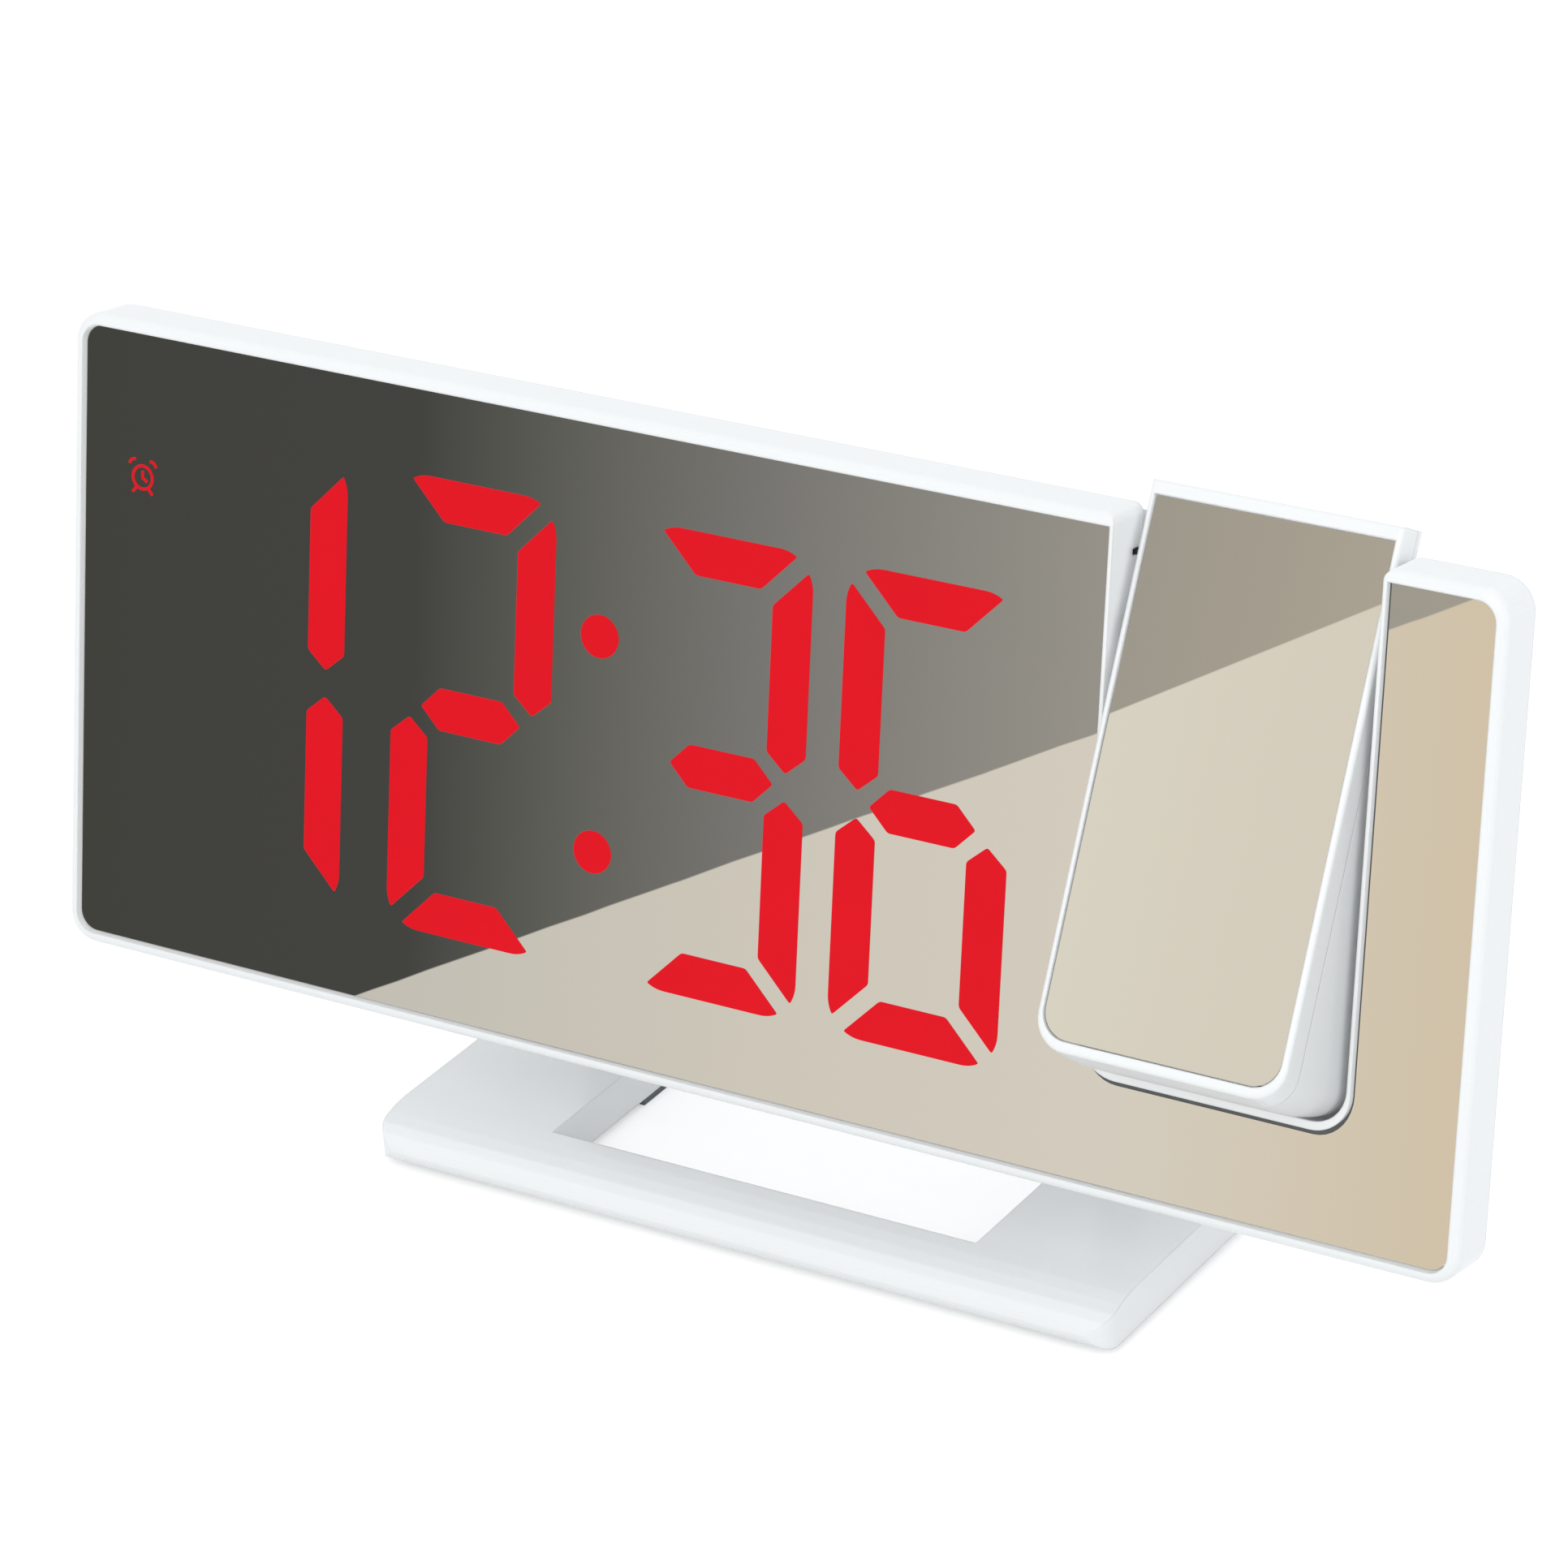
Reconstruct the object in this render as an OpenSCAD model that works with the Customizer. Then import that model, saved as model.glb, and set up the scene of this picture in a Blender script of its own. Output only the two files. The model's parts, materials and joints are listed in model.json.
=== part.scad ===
// Projection alarm clock with a mirrored face, a tilting ring stand and a
// projector arm that swings out of a pocket in the face.
//
// Pieces of the clock body are drawn in its own upright frame: x runs to the
// right, y is the depth behind the face of the mirror and z runs up the face
// from its middle. in_body() leans that frame back and lifts it above the table.

/* [Clock body] */
// Width of the clock body
body_w = 190; // [180:1:220]
// Height of the clock body, measured up its face
body_h = 79.5; // [76:0.5:95]
// Radius of the body's four outer corners
corner_r = 3.8; // [2.5:0.1:6]
// Depth of the full-size side of the front bezel
side_d = 6; // [5:0.1:8]
// Depth of the flat back of the rear cover
cover_d = 21; // [20.5:0.5:26]
// Slope of the rear cover's sides, inwards for each unit of depth
cover_taper = 0.69; // [0.5:0.01:0.8]
// Wall thickness of the moulded covers
wall = 2; // [1.6:0.1:2.4]
// Angle that the body leans back
lean = 10.2; // [5:0.1:15]
// Height of the middle of the face above the table
face_lift = 60.2; // [56:0.1:80]

/* [Mirror] */
// Width of the white rim round the mirror
rim_w = 1.4; // [1:0.1:3]
// How far the rim stands in front of the mirror
rim_proud = 0.8; // [0.3:0.1:1.5]
// Thickness of the mirror panel
mirror_t = 2; // [1.5:0.1:3]
// Clearance round the mirror panels
mirror_gap = 0.15; // [0.1:0.05:0.3]

/* [Display] */
// Middles of the four digits across the face
digit_x = [-66.3, -36.9, -2.2, 24.6]; // [-80:0.1:40]
// Height of a digit
digit_h = 56; // [44:0.5:60]
// Width of a digit
digit_w = 22.4; // [18:0.2:24]
// Width of a segment
stroke = 5.2; // [3.5:0.1:6]
// Gap between neighbouring segments
segment_gap = 2.3; // [1:0.1:3]
// Middle of the colon across the face
colon_x = -19.3; // [-21:0.1:-18]
// Height of each colon dot above or below the middle of the face
colon_z = 13.1; // [8:0.1:16]
// Radius of a colon dot
colon_r = 2.6; // [1.5:0.1:3]
// Depth of the reflector block
reflector_d = 7.6; // [5:0.1:8.5]
// Share of its front size that a light well has at the board
well_taper = 0.62; // [0.5:0.01:0.9]
// Thickness of the circuit board
board_t = 1.6; // [1:0.1:2]

/* [Projector arm] */
// Middle of the arm across the face
arm_x = 63.65; // [62:0.1:66]
// Width of the arm
arm_w = 30.9; // [28:0.1:32]
// Length of the arm
arm_h = 63.8; // [56:0.1:66]
// Depth of the arm behind the face of its mirror
arm_d = 18.7; // [18:0.1:19.5]
// Radius of the arm's lower corners
arm_r = 4; // [2:0.1:6]
// Clearance between the arm and the sides of its pocket
arm_gap = 1; // [0.7:0.1:1.5]
// Distance from the top of the body down to the arm's hinge
arm_hinge_down = 16.15; // [14:0.1:18]
// Depth of the arm's hinge behind the face
arm_hinge_d = 11.8; // [11:0.1:12.5]
// Angle that the arm stands open
arm_open = 19.1; // [0:0.1:30]
// Radius of the arm's hinge pins
arm_pin_r = 1.5; // [1:0.1:2]
// Radius of the lens barrel's bore
barrel_r = 6; // [5.6:0.1:6]

/* [Stand] */
// Width of the stand ring
ring_w = 101.4; // [96:0.2:120]
// Length of the stand ring from front to back
ring_l = 70; // [60:0.5:90]
// Thickness of the stand ring
ring_t = 5.5; // [4:0.1:8]
// Width of the opening in the stand ring
ring_open_w = 58.8; // [50:0.2:60]
// Depth of the ring's front bar
ring_front = 7.6; // [5:0.1:12]
// Depth of the ring's rear bar
ring_rear = 11; // [8:0.1:20]
// How far the ring's nose lies in front of the middle of the face
ring_nose = 7.9; // [0:0.1:15]
// Thickness of the rubber feet
foot_t = 0.8; // [0.5:0.1:2]
// Depth of the stand's hinge behind the face
stand_hinge_d = 27.4; // [27:0.1:28.5]
// Distance from the middle of the face down to the stand's hinge
stand_hinge_down = 26.8; // [25:0.1:28]
// Radius of the stand's hinge pins
stand_pin_r = 2; // [1.5:0.1:2.5]
// Thickness of the stand's two ears
ear_t = 6; // [4:0.1:7]

/* [Rear housing] */
// Width of the bulge on the rear cover
bulge_w = 65; // [62:0.5:70]
// Depth of the bulge's back behind the face
bulge_d = 31.6; // [31:0.1:34]
// Diameter of a battery cell
cell_dia = 10.5; // [10:0.1:10.6]
// Length of a battery cell
cell_l = 44.5; // [44:0.1:45]
// Radius of a push button's cap
button_r = 3; // [2:0.1:3.6]
// Distance between neighbouring buttons
button_pitch = 11; // [10:0.1:12]
// How far a button stands out of the rear cover
button_out = 1.2; // [0.8:0.1:2]
// Free play between a button's stem and its switch
button_play = 0.6; // [0.55:0.05:0.8]

/* [Hidden] */

$fn = 48;
eps = 0.01;
layer_t = 0.2;                  // thickness of a lofted cover's layers
slip = 0.05;                    // radial clearance of a pin that turns in a bore
ease = 0.2;                     // clearance of parts that are only put together
over = 1;                       // how far a cutter passes a face

half_w = body_w / 2;
half_h = body_h / 2;

// mirror and bezel
mirror_w = body_w - 2 * rim_w;
mirror_h = body_h - 2 * rim_w;
mirror_r = corner_r - rim_w;
edge_r = min(1.2, rim_w - 0.2); // rounding of the bezel's front edge
lip = 0.5;                      // white edge between the mirror and the pocket
ledge_w = 3;                    // shelf that carries the mirror
ledge_d = mirror_t + 1.5;

// pocket for the arm
pocket_w = arm_w + 2 * arm_gap;
pocket_z = half_h - arm_h - 0.6;
pocket_r = arm_r + 0.2;
pocket_d = arm_d + 0.6;         // front of the pocket's back wall
pocket_left = arm_x - pocket_w / 2;
pocket_right = arm_x + pocket_w / 2;
arm_hinge_z = half_h - arm_hinge_down;
pocket_back_z = arm_hinge_z - 11.6;   // the pocket has no back above this
notch_r = 1.2;                  // rounding of the body's edges beside the arm
slot_d = 1.1;
pin_boss_l = 3.6;               // how far the hinge's bosses stand out
pin_boss_r = 3.4;
pin_in = 3;                     // length of a hinge pin inside its boss

// display stack
reflector_y = mirror_t + 0.1;
board_y = reflector_y + reflector_d;
board_back = board_y + board_t;
diffuser_t = 0.5;
well_gap = 0.1;
reflector_left = -half_w + 7.4;
reflector_right = pocket_left - wall - 1.8;
reflector_half_h = half_h - 6.2;
board_corner = 4;               // square that cuts the board's left corners
icon_x = -half_w + 10.5;
icon_z = 21.7;
icon_r = 2.6;

// rear cover
cover_inset = 0.8;
cover_half_w = half_w - cover_inset;
cover_half_h = half_h - cover_inset;
cover_edge_d = cover_d - 1.5;
cover_run = (cover_edge_d - side_d) * cover_taper;
cover_rise = (cover_edge_d - side_d) * 0.355;
cover_floor = cover_d - wall;
seam_wall = wall + 0.9;
spigot_d = 2;

// screws that close the body
post_r = 2.1;
boss_r = 3.6;
boss_y = board_back + 0.5;
screw_r = 1.2;
screw_head_r = 2.4;
screw_x = half_w - 15.7;
screw_z = half_h - 10.85;
low_z = -half_h + 9;
screw_spots = [
    [-screw_x, screw_z], [-screw_x, -screw_z], [colon_x, screw_z + 0.8],
    [(digit_x[0] + digit_x[1]) / 2, -screw_z - 0.8],
    [pocket_left - 4.6, screw_z], [screw_x, low_z]
];
post_spots = [[-38, -half_h + 9], [6, half_h - 9], [-60, half_h - 9]];

// bulge, battery bay and stand hinge
bulge_half_w = bulge_w / 2;
bulge_top = 20;
bulge_low = -stand_hinge_down - 6.2;
bulge_z = (bulge_top + bulge_low) / 2;
bulge_h = bulge_top - bulge_low;
door_t = 2;
cell_r = cell_dia / 2;
cell_pitch = cell_dia + 0.5;
spring_l = 4.2;
plate_t = 0.5;
bay_l = cell_l + spring_l + 2 * plate_t + 0.2;
bay_h = 3 * cell_pitch + 0.3;
bay_z = 0.2;
bay_y = bulge_d - door_t - cell_dia - 0.7;
bay_wall = 1.5;
cell_y = bay_y + cell_r + 0.2;
door_w = bay_l + 6;
door_h = bay_h + 3;
stand_hinge_z = -stand_hinge_down;
washer_t = 0.8;

// projector arm
arm_top = half_h;
arm_low = arm_top - arm_h;
arm_proud = 0.3;
arm_edge_r = 0.5;
arm_rim_x = 0.7;
arm_rim_low = 1.3;
arm_rim_top = 1.6;
arm_mirror_t = 1.5;
arm_split = 3.4;
arm_wall = 1.6;
arm_slab_d = 5;                 // depth of the arm above its housing
slab_r = (arm_slab_d - arm_split) / 2;
arm_house_top = arm_hinge_z + 5.4;
// the arm's foot is round about its hinge, and so is the pocket's floor
arm_swing_r = norm([arm_hinge_d + arm_proud - arm_edge_r, arm_hinge_z - arm_low]);
swing_gap = 0.3;
arm_split_low = arm_hinge_z - sqrt(pow(arm_swing_r, 2) - pow(arm_hinge_d - arm_split, 2));
barrel_wall = 1.3;
barrel_y = arm_d - 0.3 - barrel_wall - barrel_r;
barrel_top = arm_top - 3.1;
arm_floor = arm_d - arm_wall;
arm_screw_z = arm_low + 4.6;
arm_screw_x = arm_w / 2 - 4.4;
arm_post_r = 2.8;

// focusing lens
focus_z = arm_house_top - arm_wall;
carrier_r = barrel_r - 1.2;
carrier_l = 8;
carrier_z = barrel_top - carrier_l - 1.4;
lens_r = carrier_r - 0.7;
ring_low = focus_z - 1.3;
ring_lip_r = barrel_r + 0.35;

// light engine of the projector
box_w = 2 * (arm_screw_x - arm_post_r - ease);
box_low = arm_low + 4.5;
box_top = arm_house_top - arm_wall - 13.5;
box_front = arm_split + 0.3;
box_back = arm_floor - 0.3;
box_wall = 1.2;
box_mid_y = (box_front + box_back) / 2;
box_h = box_top - box_low;

// buttons and sockets on the back
button_spot_x = -half_w + 22;
button_spot_z = 5;
button_flange_r = button_r + 1.1;
button_flange_t = 1.1;
switch_h = 3.4;
plunger_h = 0.7;
usb_x = button_spot_x + button_pitch;
usb_z = -half_h + 18.25;
usb_w = 7.7;
usb_h = 2.9;
buzzer_r = 6;
buzzer_x = screw_spots[4][0] - boss_r - buzzer_r - 4;
buzzer_z = half_h - 2 * buzzer_r - 2.2;
hole_pitch = 2.2;
hole_h = hole_pitch / 2;

// stand
ring_y0 = -ring_nose;
ring_y1 = ring_y0 + ring_l;
ring_top = foot_t + ring_t;
ear_in = bulge_half_w + washer_t;
ear_out = ear_in + ear_t;
ear_r = 5.2;
foot_y = ring_y0 + 27.4;

// stand hinge and arm tip, seen from the side with the body leaning
function lean_y(d, z) = d * cos(lean) + z * sin(lean);
function lean_z(d, z) = z * cos(lean) - d * sin(lean);
hinge_y = lean_y(stand_hinge_d, stand_hinge_z);
hinge_z = face_lift + lean_z(stand_hinge_d, stand_hinge_z);
tip_d = arm_hinge_d + (-arm_proud - arm_hinge_d) * cos(arm_open)
    + (arm_low - arm_hinge_z) * sin(arm_open);
tip_z = arm_hinge_z + (arm_low - arm_hinge_z) * cos(arm_open)
    + (arm_proud + arm_hinge_d) * sin(arm_open);
front_y = min(lean_y(tip_d, tip_z), lean_y(-rim_proud, -half_h), ring_y0);
origin_y = -(front_y + ring_y1) / 2;

// ---- frames -------------------------------------------------------------

module in_body() {
    translate([0, origin_y, face_lift]) rotate([-lean, 0, 0]) children();
}

module in_arm() {
    in_body()
        translate([0, arm_hinge_d, arm_hinge_z]) rotate([-arm_open, 0, 0])
            translate([0, -arm_hinge_d, -arm_hinge_z]) children();
}

module in_stand() {
    translate([0, origin_y, 0]) children();
}

// ---- shared shapes ------------------------------------------------------

// An outline in x and z, given thickness from depth d0 to depth d1.
module plate(d0, d1) {
    translate([0, d1, 0]) rotate([90, 0, 0]) linear_extrude(d1 - d0) children();
}

module rod_y(x, z, r, d0, d1) {
    translate([x, d1, z]) rotate([90, 0, 0]) cylinder(r = r, h = d1 - d0);
}

module rod_x(x0, x1, d, z, r) {
    translate([x0, d, z]) rotate([0, 90, 0]) cylinder(r = r, h = x1 - x0);
}

module rounded_rect(w, h, r) {
    square([w - 2 * r, h], center = true);
    square([w, h - 2 * r], center = true);
    for (sx = [-1, 1], sz = [-1, 1])
        translate([sx * (w / 2 - r), sz * (h / 2 - r)]) circle(r);
}

// One thin layer of a lofted cover.
module layer(d, w, h, r) {
    plate(d, d + layer_t) rounded_rect(w, h, r, $fn = 32);
}

// An outline of width w from depth d0 to d1, with its two far corners round.
module tail_round(w, d0, d1, r) {
    translate([-w / 2, d0]) square([w, d1 - d0 - r]);
    translate([-w / 2 + r, d0]) square([w - 2 * r, d1 - d0]);
    for (s = [-1, 1]) translate([s * (w / 2 - r), d1 - r]) circle(r);
}

module extrude_x(x0, x1) {
    translate([x0, 0, 0]) rotate([90, 0, 90]) linear_extrude(x1 - x0) children();
}

// Box with its middle at x and z, whose four edges round the back are round.
module soft_box(x, z, w, h, d0, d1, r) {
    translate([x, 0, z]) intersection() {
        translate([0, 0, -h / 2 - over]) linear_extrude(h + 2 * over)
            tail_round(w, d0, d1, r);
        extrude_x(-w / 2 - over, w / 2 + over)
            mirror([1, -1]) tail_round(h, d0, d1, r);
    }
}

// A U-shaped outline with round lower corners, open at the top.
module u_outline(x, w, low, top, r) {
    translate([x - w / 2, low + r]) square([w, top - low - r]);
    translate([x - w / 2 + r, low]) square([w - 2 * r, r + eps]);
    for (s = [-1, 1]) translate([x + s * (w / 2 - r), low + r]) circle(r);
}

module pocket_outline(grow = 0) {
    u_outline(arm_x, pocket_w + 2 * grow, pocket_z - grow, half_h + over,
              pocket_r + grow);
}

// Disc about the arm's hinge, with round edges: what the arm's foot sweeps.
module swing_form(w, rad, r) {
    translate([arm_x, arm_hinge_d, arm_hinge_z]) rotate([0, 90, 0]) rotate_extrude() {
        translate([0, -w / 2]) square([rad - r, w]);
        translate([0, -w / 2 + r]) square([rad, w - 2 * r]);
        for (s = [-1, 1]) translate([rad - r, s * (w / 2 - r)]) circle(r);
    }
}

// The pocket's space, its floor round about the arm's hinge.
module pocket_form(d0, d1, grow = 0) {
    w = pocket_w + 2 * grow;
    rad = arm_swing_r + swing_gap + grow;
    intersection() {
        translate([arm_x - w / 2, d0, arm_hinge_z - rad - over])
            cube([w, d1 - d0, rad + 2 * over + half_h - arm_hinge_z]);
        swing_form(w, rad, pocket_r + grow);
    }
}

// Cutter that rounds the body's two upper edges beside the arm.
module notch_edges(d0, d1) {
    for (s = [-1, 1]) plate(d0, d1) difference() {
        translate([arm_x + s * (pocket_w + notch_r) / 2, half_h - (notch_r - over) / 2])
            square([notch_r + 2 * eps, notch_r + over], center = true);
        translate([arm_x + s * (pocket_w / 2 + notch_r), half_h - notch_r])
            circle(notch_r);
    }
}

module screw_shape(x, z, head_d, head_h, tip_d) {
    rod_y(x, z, screw_head_r, head_d - head_h, head_d);
    rod_y(x, z, screw_r, tip_d, head_d - head_h + eps);
}

// ---- face ---------------------------------------------------------------

// Outer form of the bezel: a full-size band with a round front edge.
module bezel_form() {
    hull() {
        for (a = [0:22.5:90]) {
            in = edge_r * (1 - sin(a));
            layer(-rim_proud + edge_r * (1 - cos(a)), body_w - 2 * in,
                  body_h - 2 * in, corner_r - in);
        }
        layer(side_d - layer_t, body_w, body_h, corner_r);
    }
}

module bezel_post(p) {
    inward = p[1] > 0 ? half_h - wall : -half_h + wall;
    low = min(p[1], inward);
    rod_y(p[0], p[1], post_r, mirror_t, boss_y);
    translate([p[0] - post_r, mirror_t, low])
        cube([2 * post_r, ledge_d - mirror_t, abs(inward - p[1])]);
}

module front_bezel() {
    color("white") in_body() difference() {
        union() {
            difference() {
                bezel_form();
                plate(-over - rim_proud, mirror_t)
                    rounded_rect(mirror_w, mirror_h, mirror_r);
                plate(mirror_t - eps, ledge_d)
                    rounded_rect(mirror_w - 2 * ledge_w, mirror_h - 2 * ledge_w,
                                 mirror_r);
                plate(ledge_d - eps, side_d + over)
                    rounded_rect(body_w - 2 * wall, body_h - 2 * wall,
                                 corner_r - wall);
            }
            // walls of the pocket: a thin lip beside the mirror, thicker behind
            intersection() {
                union() {
                    plate(-rim_proud, mirror_t + eps) pocket_outline(lip);
                    pocket_form(mirror_t, side_d, lip + 1);
                    plate(mirror_t, ledge_d) pocket_outline(lip + 2.2);
                }
                bezel_form();
            }
            for (p = screw_spots) bezel_post(p);
        }
        pocket_form(-over - rim_proud, side_d + over);
        notch_edges(-over - rim_proud, side_d + over);
        for (p = screw_spots)
            rod_y(p[0], p[1], screw_r + slip, ledge_d, boss_y + over);
        // slot for the catch that closes the seam, in the pocket's left wall
        translate([pocket_left - slot_d, 4, half_h - 5.6]) cube([2 * slot_d, 1.6, 0.7]);
    }
}

module mirror_panel() {
    color([0.45, 0.44, 0.42]) in_body() plate(0, mirror_t) difference() {
        rounded_rect(mirror_w - 2 * mirror_gap, mirror_h - 2 * mirror_gap,
                     mirror_r);
        pocket_outline(lip + mirror_gap);
    }
}

// ---- seven-segment display ----------------------------------------------

// Corners of a vertical segment on the right of a digit's upper half. The
// mitres run at 45 degrees and stay half a gap from the digit's corners.
seg_cut = segment_gap / sqrt(2);
tip_cut = 0.8;
upright = let (r = digit_w / 2, t = digit_h / 2, s = stroke, g = seg_cut) [
    [r, t - g - tip_cut], [r - tip_cut, t - g - tip_cut],
    [r - s, t - g - s], [r - s, g + s / 2 - 0.4], [r - s / 2, g],
    [r, g + s / 2 - 0.4]
];
top_bar = let (r = digit_w / 2, t = digit_h / 2, s = stroke, g = seg_cut) [
    [-r + g + tip_cut + 0.4, t], [r - g - tip_cut - 0.4, t],
    [r - g - tip_cut, t - tip_cut], [r - g - s, t - s],
    [-r + g + s, t - s], [-r + g + tip_cut, t - tip_cut]
];
middle_bar = let (r = digit_w / 2, s = stroke, g = seg_cut) [
    [-r + s / 2 + g, 0], [-r + s + g, s / 2], [r - s - g, s / 2],
    [r - s / 2 - g, 0], [r - s - g, -s / 2], [-r + s + g, -s / 2]
];
function flipped(pts, sx, sz) = [for (p = pts) [sx * p[0], sz * p[1]]];
segments = [
    top_bar, flipped(top_bar, 1, -1), middle_bar,
    upright, flipped(upright, -1, 1), flipped(upright, 1, -1),
    flipped(upright, -1, -1)
];
segment_mid = let (m = (digit_w - stroke) / 2, n = (digit_h - stroke) / 2) [
    [0, n], [0, -n], [0, 0], [m, n / 2], [-m, n / 2], [m, -n / 2], [-m, -n / 2]
];

// Thin or tapered prism over one segment, between two depths.
module segment_prism(x, i, d0, d1, grow = 0, back_scale = 1) {
    mid = segment_mid[i];
    long = i < 3 ? [1 + grow / 8, 1 + grow / 2.6] : [1 + grow / 2.6, 1 + grow / 11];
    pts = [for (p = segments[i])
        [(p[0] - mid[0]) * long[0], (p[1] - mid[1]) * long[1]]];
    translate([x + mid[0], d0, mid[1]]) rotate([90, 0, 0]) mirror([0, 0, 1])
        linear_extrude(d1 - d0, scale = back_scale) polygon(pts);
}

module dot_well(x, z, r, d0, d1, back_r) {
    translate([x, d1, z]) rotate([90, 0, 0])
        cylinder(r1 = back_r, r2 = r, h = d1 - d0);
}

module post_notches() {
    for (p = screw_spots) {
        far = p[1] > 0 ? half_h : -half_h;
        low = min(p[1] - sign(p[1]) * (post_r + 0.5), far);
        translate([p[0] - post_r - 0.5, low])
            square([2 * post_r + 1, abs(far - p[1]) + post_r + 0.5]);
    }
}

module display_outline() {
    difference() {
        translate([reflector_left, -reflector_half_h])
            square([reflector_right - reflector_left, 2 * reflector_half_h]);
        for (s = [-1, 1]) translate([reflector_left, s * reflector_half_h])
            rotate(45) square(board_corner, center = true);
        post_notches();
    }
}

// White block that keeps the light of each segment apart: a tapered well runs
// from every segment's window back to its light-emitting diodes.
module segment_reflector() {
    color("white") in_body() difference() {
        plate(reflector_y, board_y) display_outline();
        for (x = digit_x, i = [0:6]) {
            segment_prism(x, i, reflector_y + diffuser_t, board_y + eps,
                          back_scale = well_taper);
            segment_prism(x, i, reflector_y - eps,
                          reflector_y + diffuser_t + eps, well_gap);
        }
        for (s = [-1, 1])
            dot_well(colon_x, s * colon_z, colon_r, reflector_y - eps,
                     board_y + eps, colon_r * well_taper);
        dot_well(icon_x, icon_z, icon_r, reflector_y - eps, board_y + eps,
                 icon_r * well_taper);
    }
}

module segment_diffusers() {
    color([0.95, 0.25, 0.2]) in_body() {
        for (x = digit_x, i = [0:6])
            segment_prism(x, i, reflector_y, reflector_y + diffuser_t);
        for (s = [-1, 1])
            rod_y(colon_x, s * colon_z, colon_r - 0.3, reflector_y,
                  reflector_y + diffuser_t);
        rod_y(icon_x, icon_z, icon_r - 0.3, reflector_y,
              reflector_y + diffuser_t);
    }
}

module led_chip(x, z) {
    led = [1.6, 0.7, 0.8];
    translate([x - led[0] / 2, board_y - led[1], z - led[2] / 2]) cube(led);
}

module segment_leds() {
    spread = stroke * 0.55;
    color("gold") in_body() {
        for (x = digit_x, i = [0:6], s = [-1, 1]) {
            mid = segment_mid[i];
            led_chip(x + mid[0] + (i < 3 ? s * spread : 0),
                     mid[1] + (i < 3 ? 0 : s * spread));
        }
        for (s = [-1, 1]) led_chip(colon_x, s * colon_z);
        led_chip(icon_x, icon_z);
    }
}

module display_board() {
    color("darkgreen") in_body() plate(board_y, board_back) display_outline();
}

// ---- rear cover ---------------------------------------------------------

module cover_form() {
    hull() {
        layer(side_d, 2 * cover_half_w, 2 * cover_half_h, corner_r);
        layer(cover_edge_d, 2 * (cover_half_w - cover_run),
              2 * (cover_half_h - cover_rise), corner_r + 4);
        layer(cover_d - layer_t, 2 * (cover_half_w - cover_run - 1.5),
              2 * (cover_half_h - cover_rise - 1.5), corner_r + 3);
    }
}

module cover_hollow() {
    hull() {
        layer(side_d - layer_t / 2, 2 * (half_w - seam_wall - cover_inset),
              2 * (half_h - seam_wall - cover_inset), corner_r);
        layer(cover_floor - layer_t, 2 * (cover_half_w - cover_run - wall),
              2 * (cover_half_h - cover_rise - wall), corner_r + 2);
    }
}

module bulge_form() {
    soft_box(0, bulge_z, bulge_w, bulge_h, cover_floor, bulge_d, 2.5);
}

// Blocks inside the cover: pocket walls, battery bay, bosses and posts.
module cover_blocks() {
    pocket_form(side_d, pocket_d + wall, wall);
    translate([-bay_l / 2 - bay_wall, bay_y - bay_wall,
               bay_z - bay_h / 2 - bay_wall])
        cube([bay_l + 2 * bay_wall, bulge_d, bay_h + 2 * bay_wall]);
    for (p = screw_spots) rod_y(p[0], p[1], boss_r, boss_y, cover_floor + eps);
    for (p = post_spots) rod_y(p[0], p[1], 1.8, board_back, cover_floor + eps);
    rod_x(pocket_left - pin_boss_l, pocket_left, arm_hinge_d, arm_hinge_z,
          pin_boss_r);
    rod_x(pocket_right, pocket_right + pin_boss_l, arm_hinge_d, arm_hinge_z,
          pin_boss_r);
    for (s = [-1, 1])
        rod_x(s > 0 ? bulge_half_w - 8 : -bulge_half_w, s > 0 ? bulge_half_w
              : -bulge_half_w + 8, stand_hinge_d, stand_hinge_z, 4.1);
}

// Low lip that locates the cover inside the bezel.
module cover_spigot() {
    plate(side_d - spigot_d, side_d + eps) difference() {
        rounded_rect(body_w - 2 * (wall + ease), body_h - 2 * (wall + ease),
                     corner_r - wall);
        rounded_rect(2 * (half_w - seam_wall - cover_inset),
                     2 * (half_h - seam_wall - cover_inset), corner_r - wall);
        translate([pocket_left - wall - lip, pocket_z - wall - lip])
            square([pocket_w + 2 * wall + 2 * lip, body_h]);
    }
}

module bay_void() {
    translate([-bay_l / 2, bay_y, bay_z - bay_h / 2])
        cube([bay_l, bulge_d, bay_h]);
    translate([-door_w / 2 - ease, bulge_d - door_t, bay_z - door_h / 2 - ease])
        cube([door_w + 2 * ease, bulge_d, door_h + 2 * ease]);
}

module sound_holes() {
    hole_w = 1.2 * buzzer_r;
    for (i = [-2:2])
        translate([buzzer_x - hole_w / 2, cover_floor - over,
                   buzzer_z + hole_pitch * i - hole_h / 2])
            cube([hole_w, wall + 2 * over, hole_h]);
}

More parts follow.
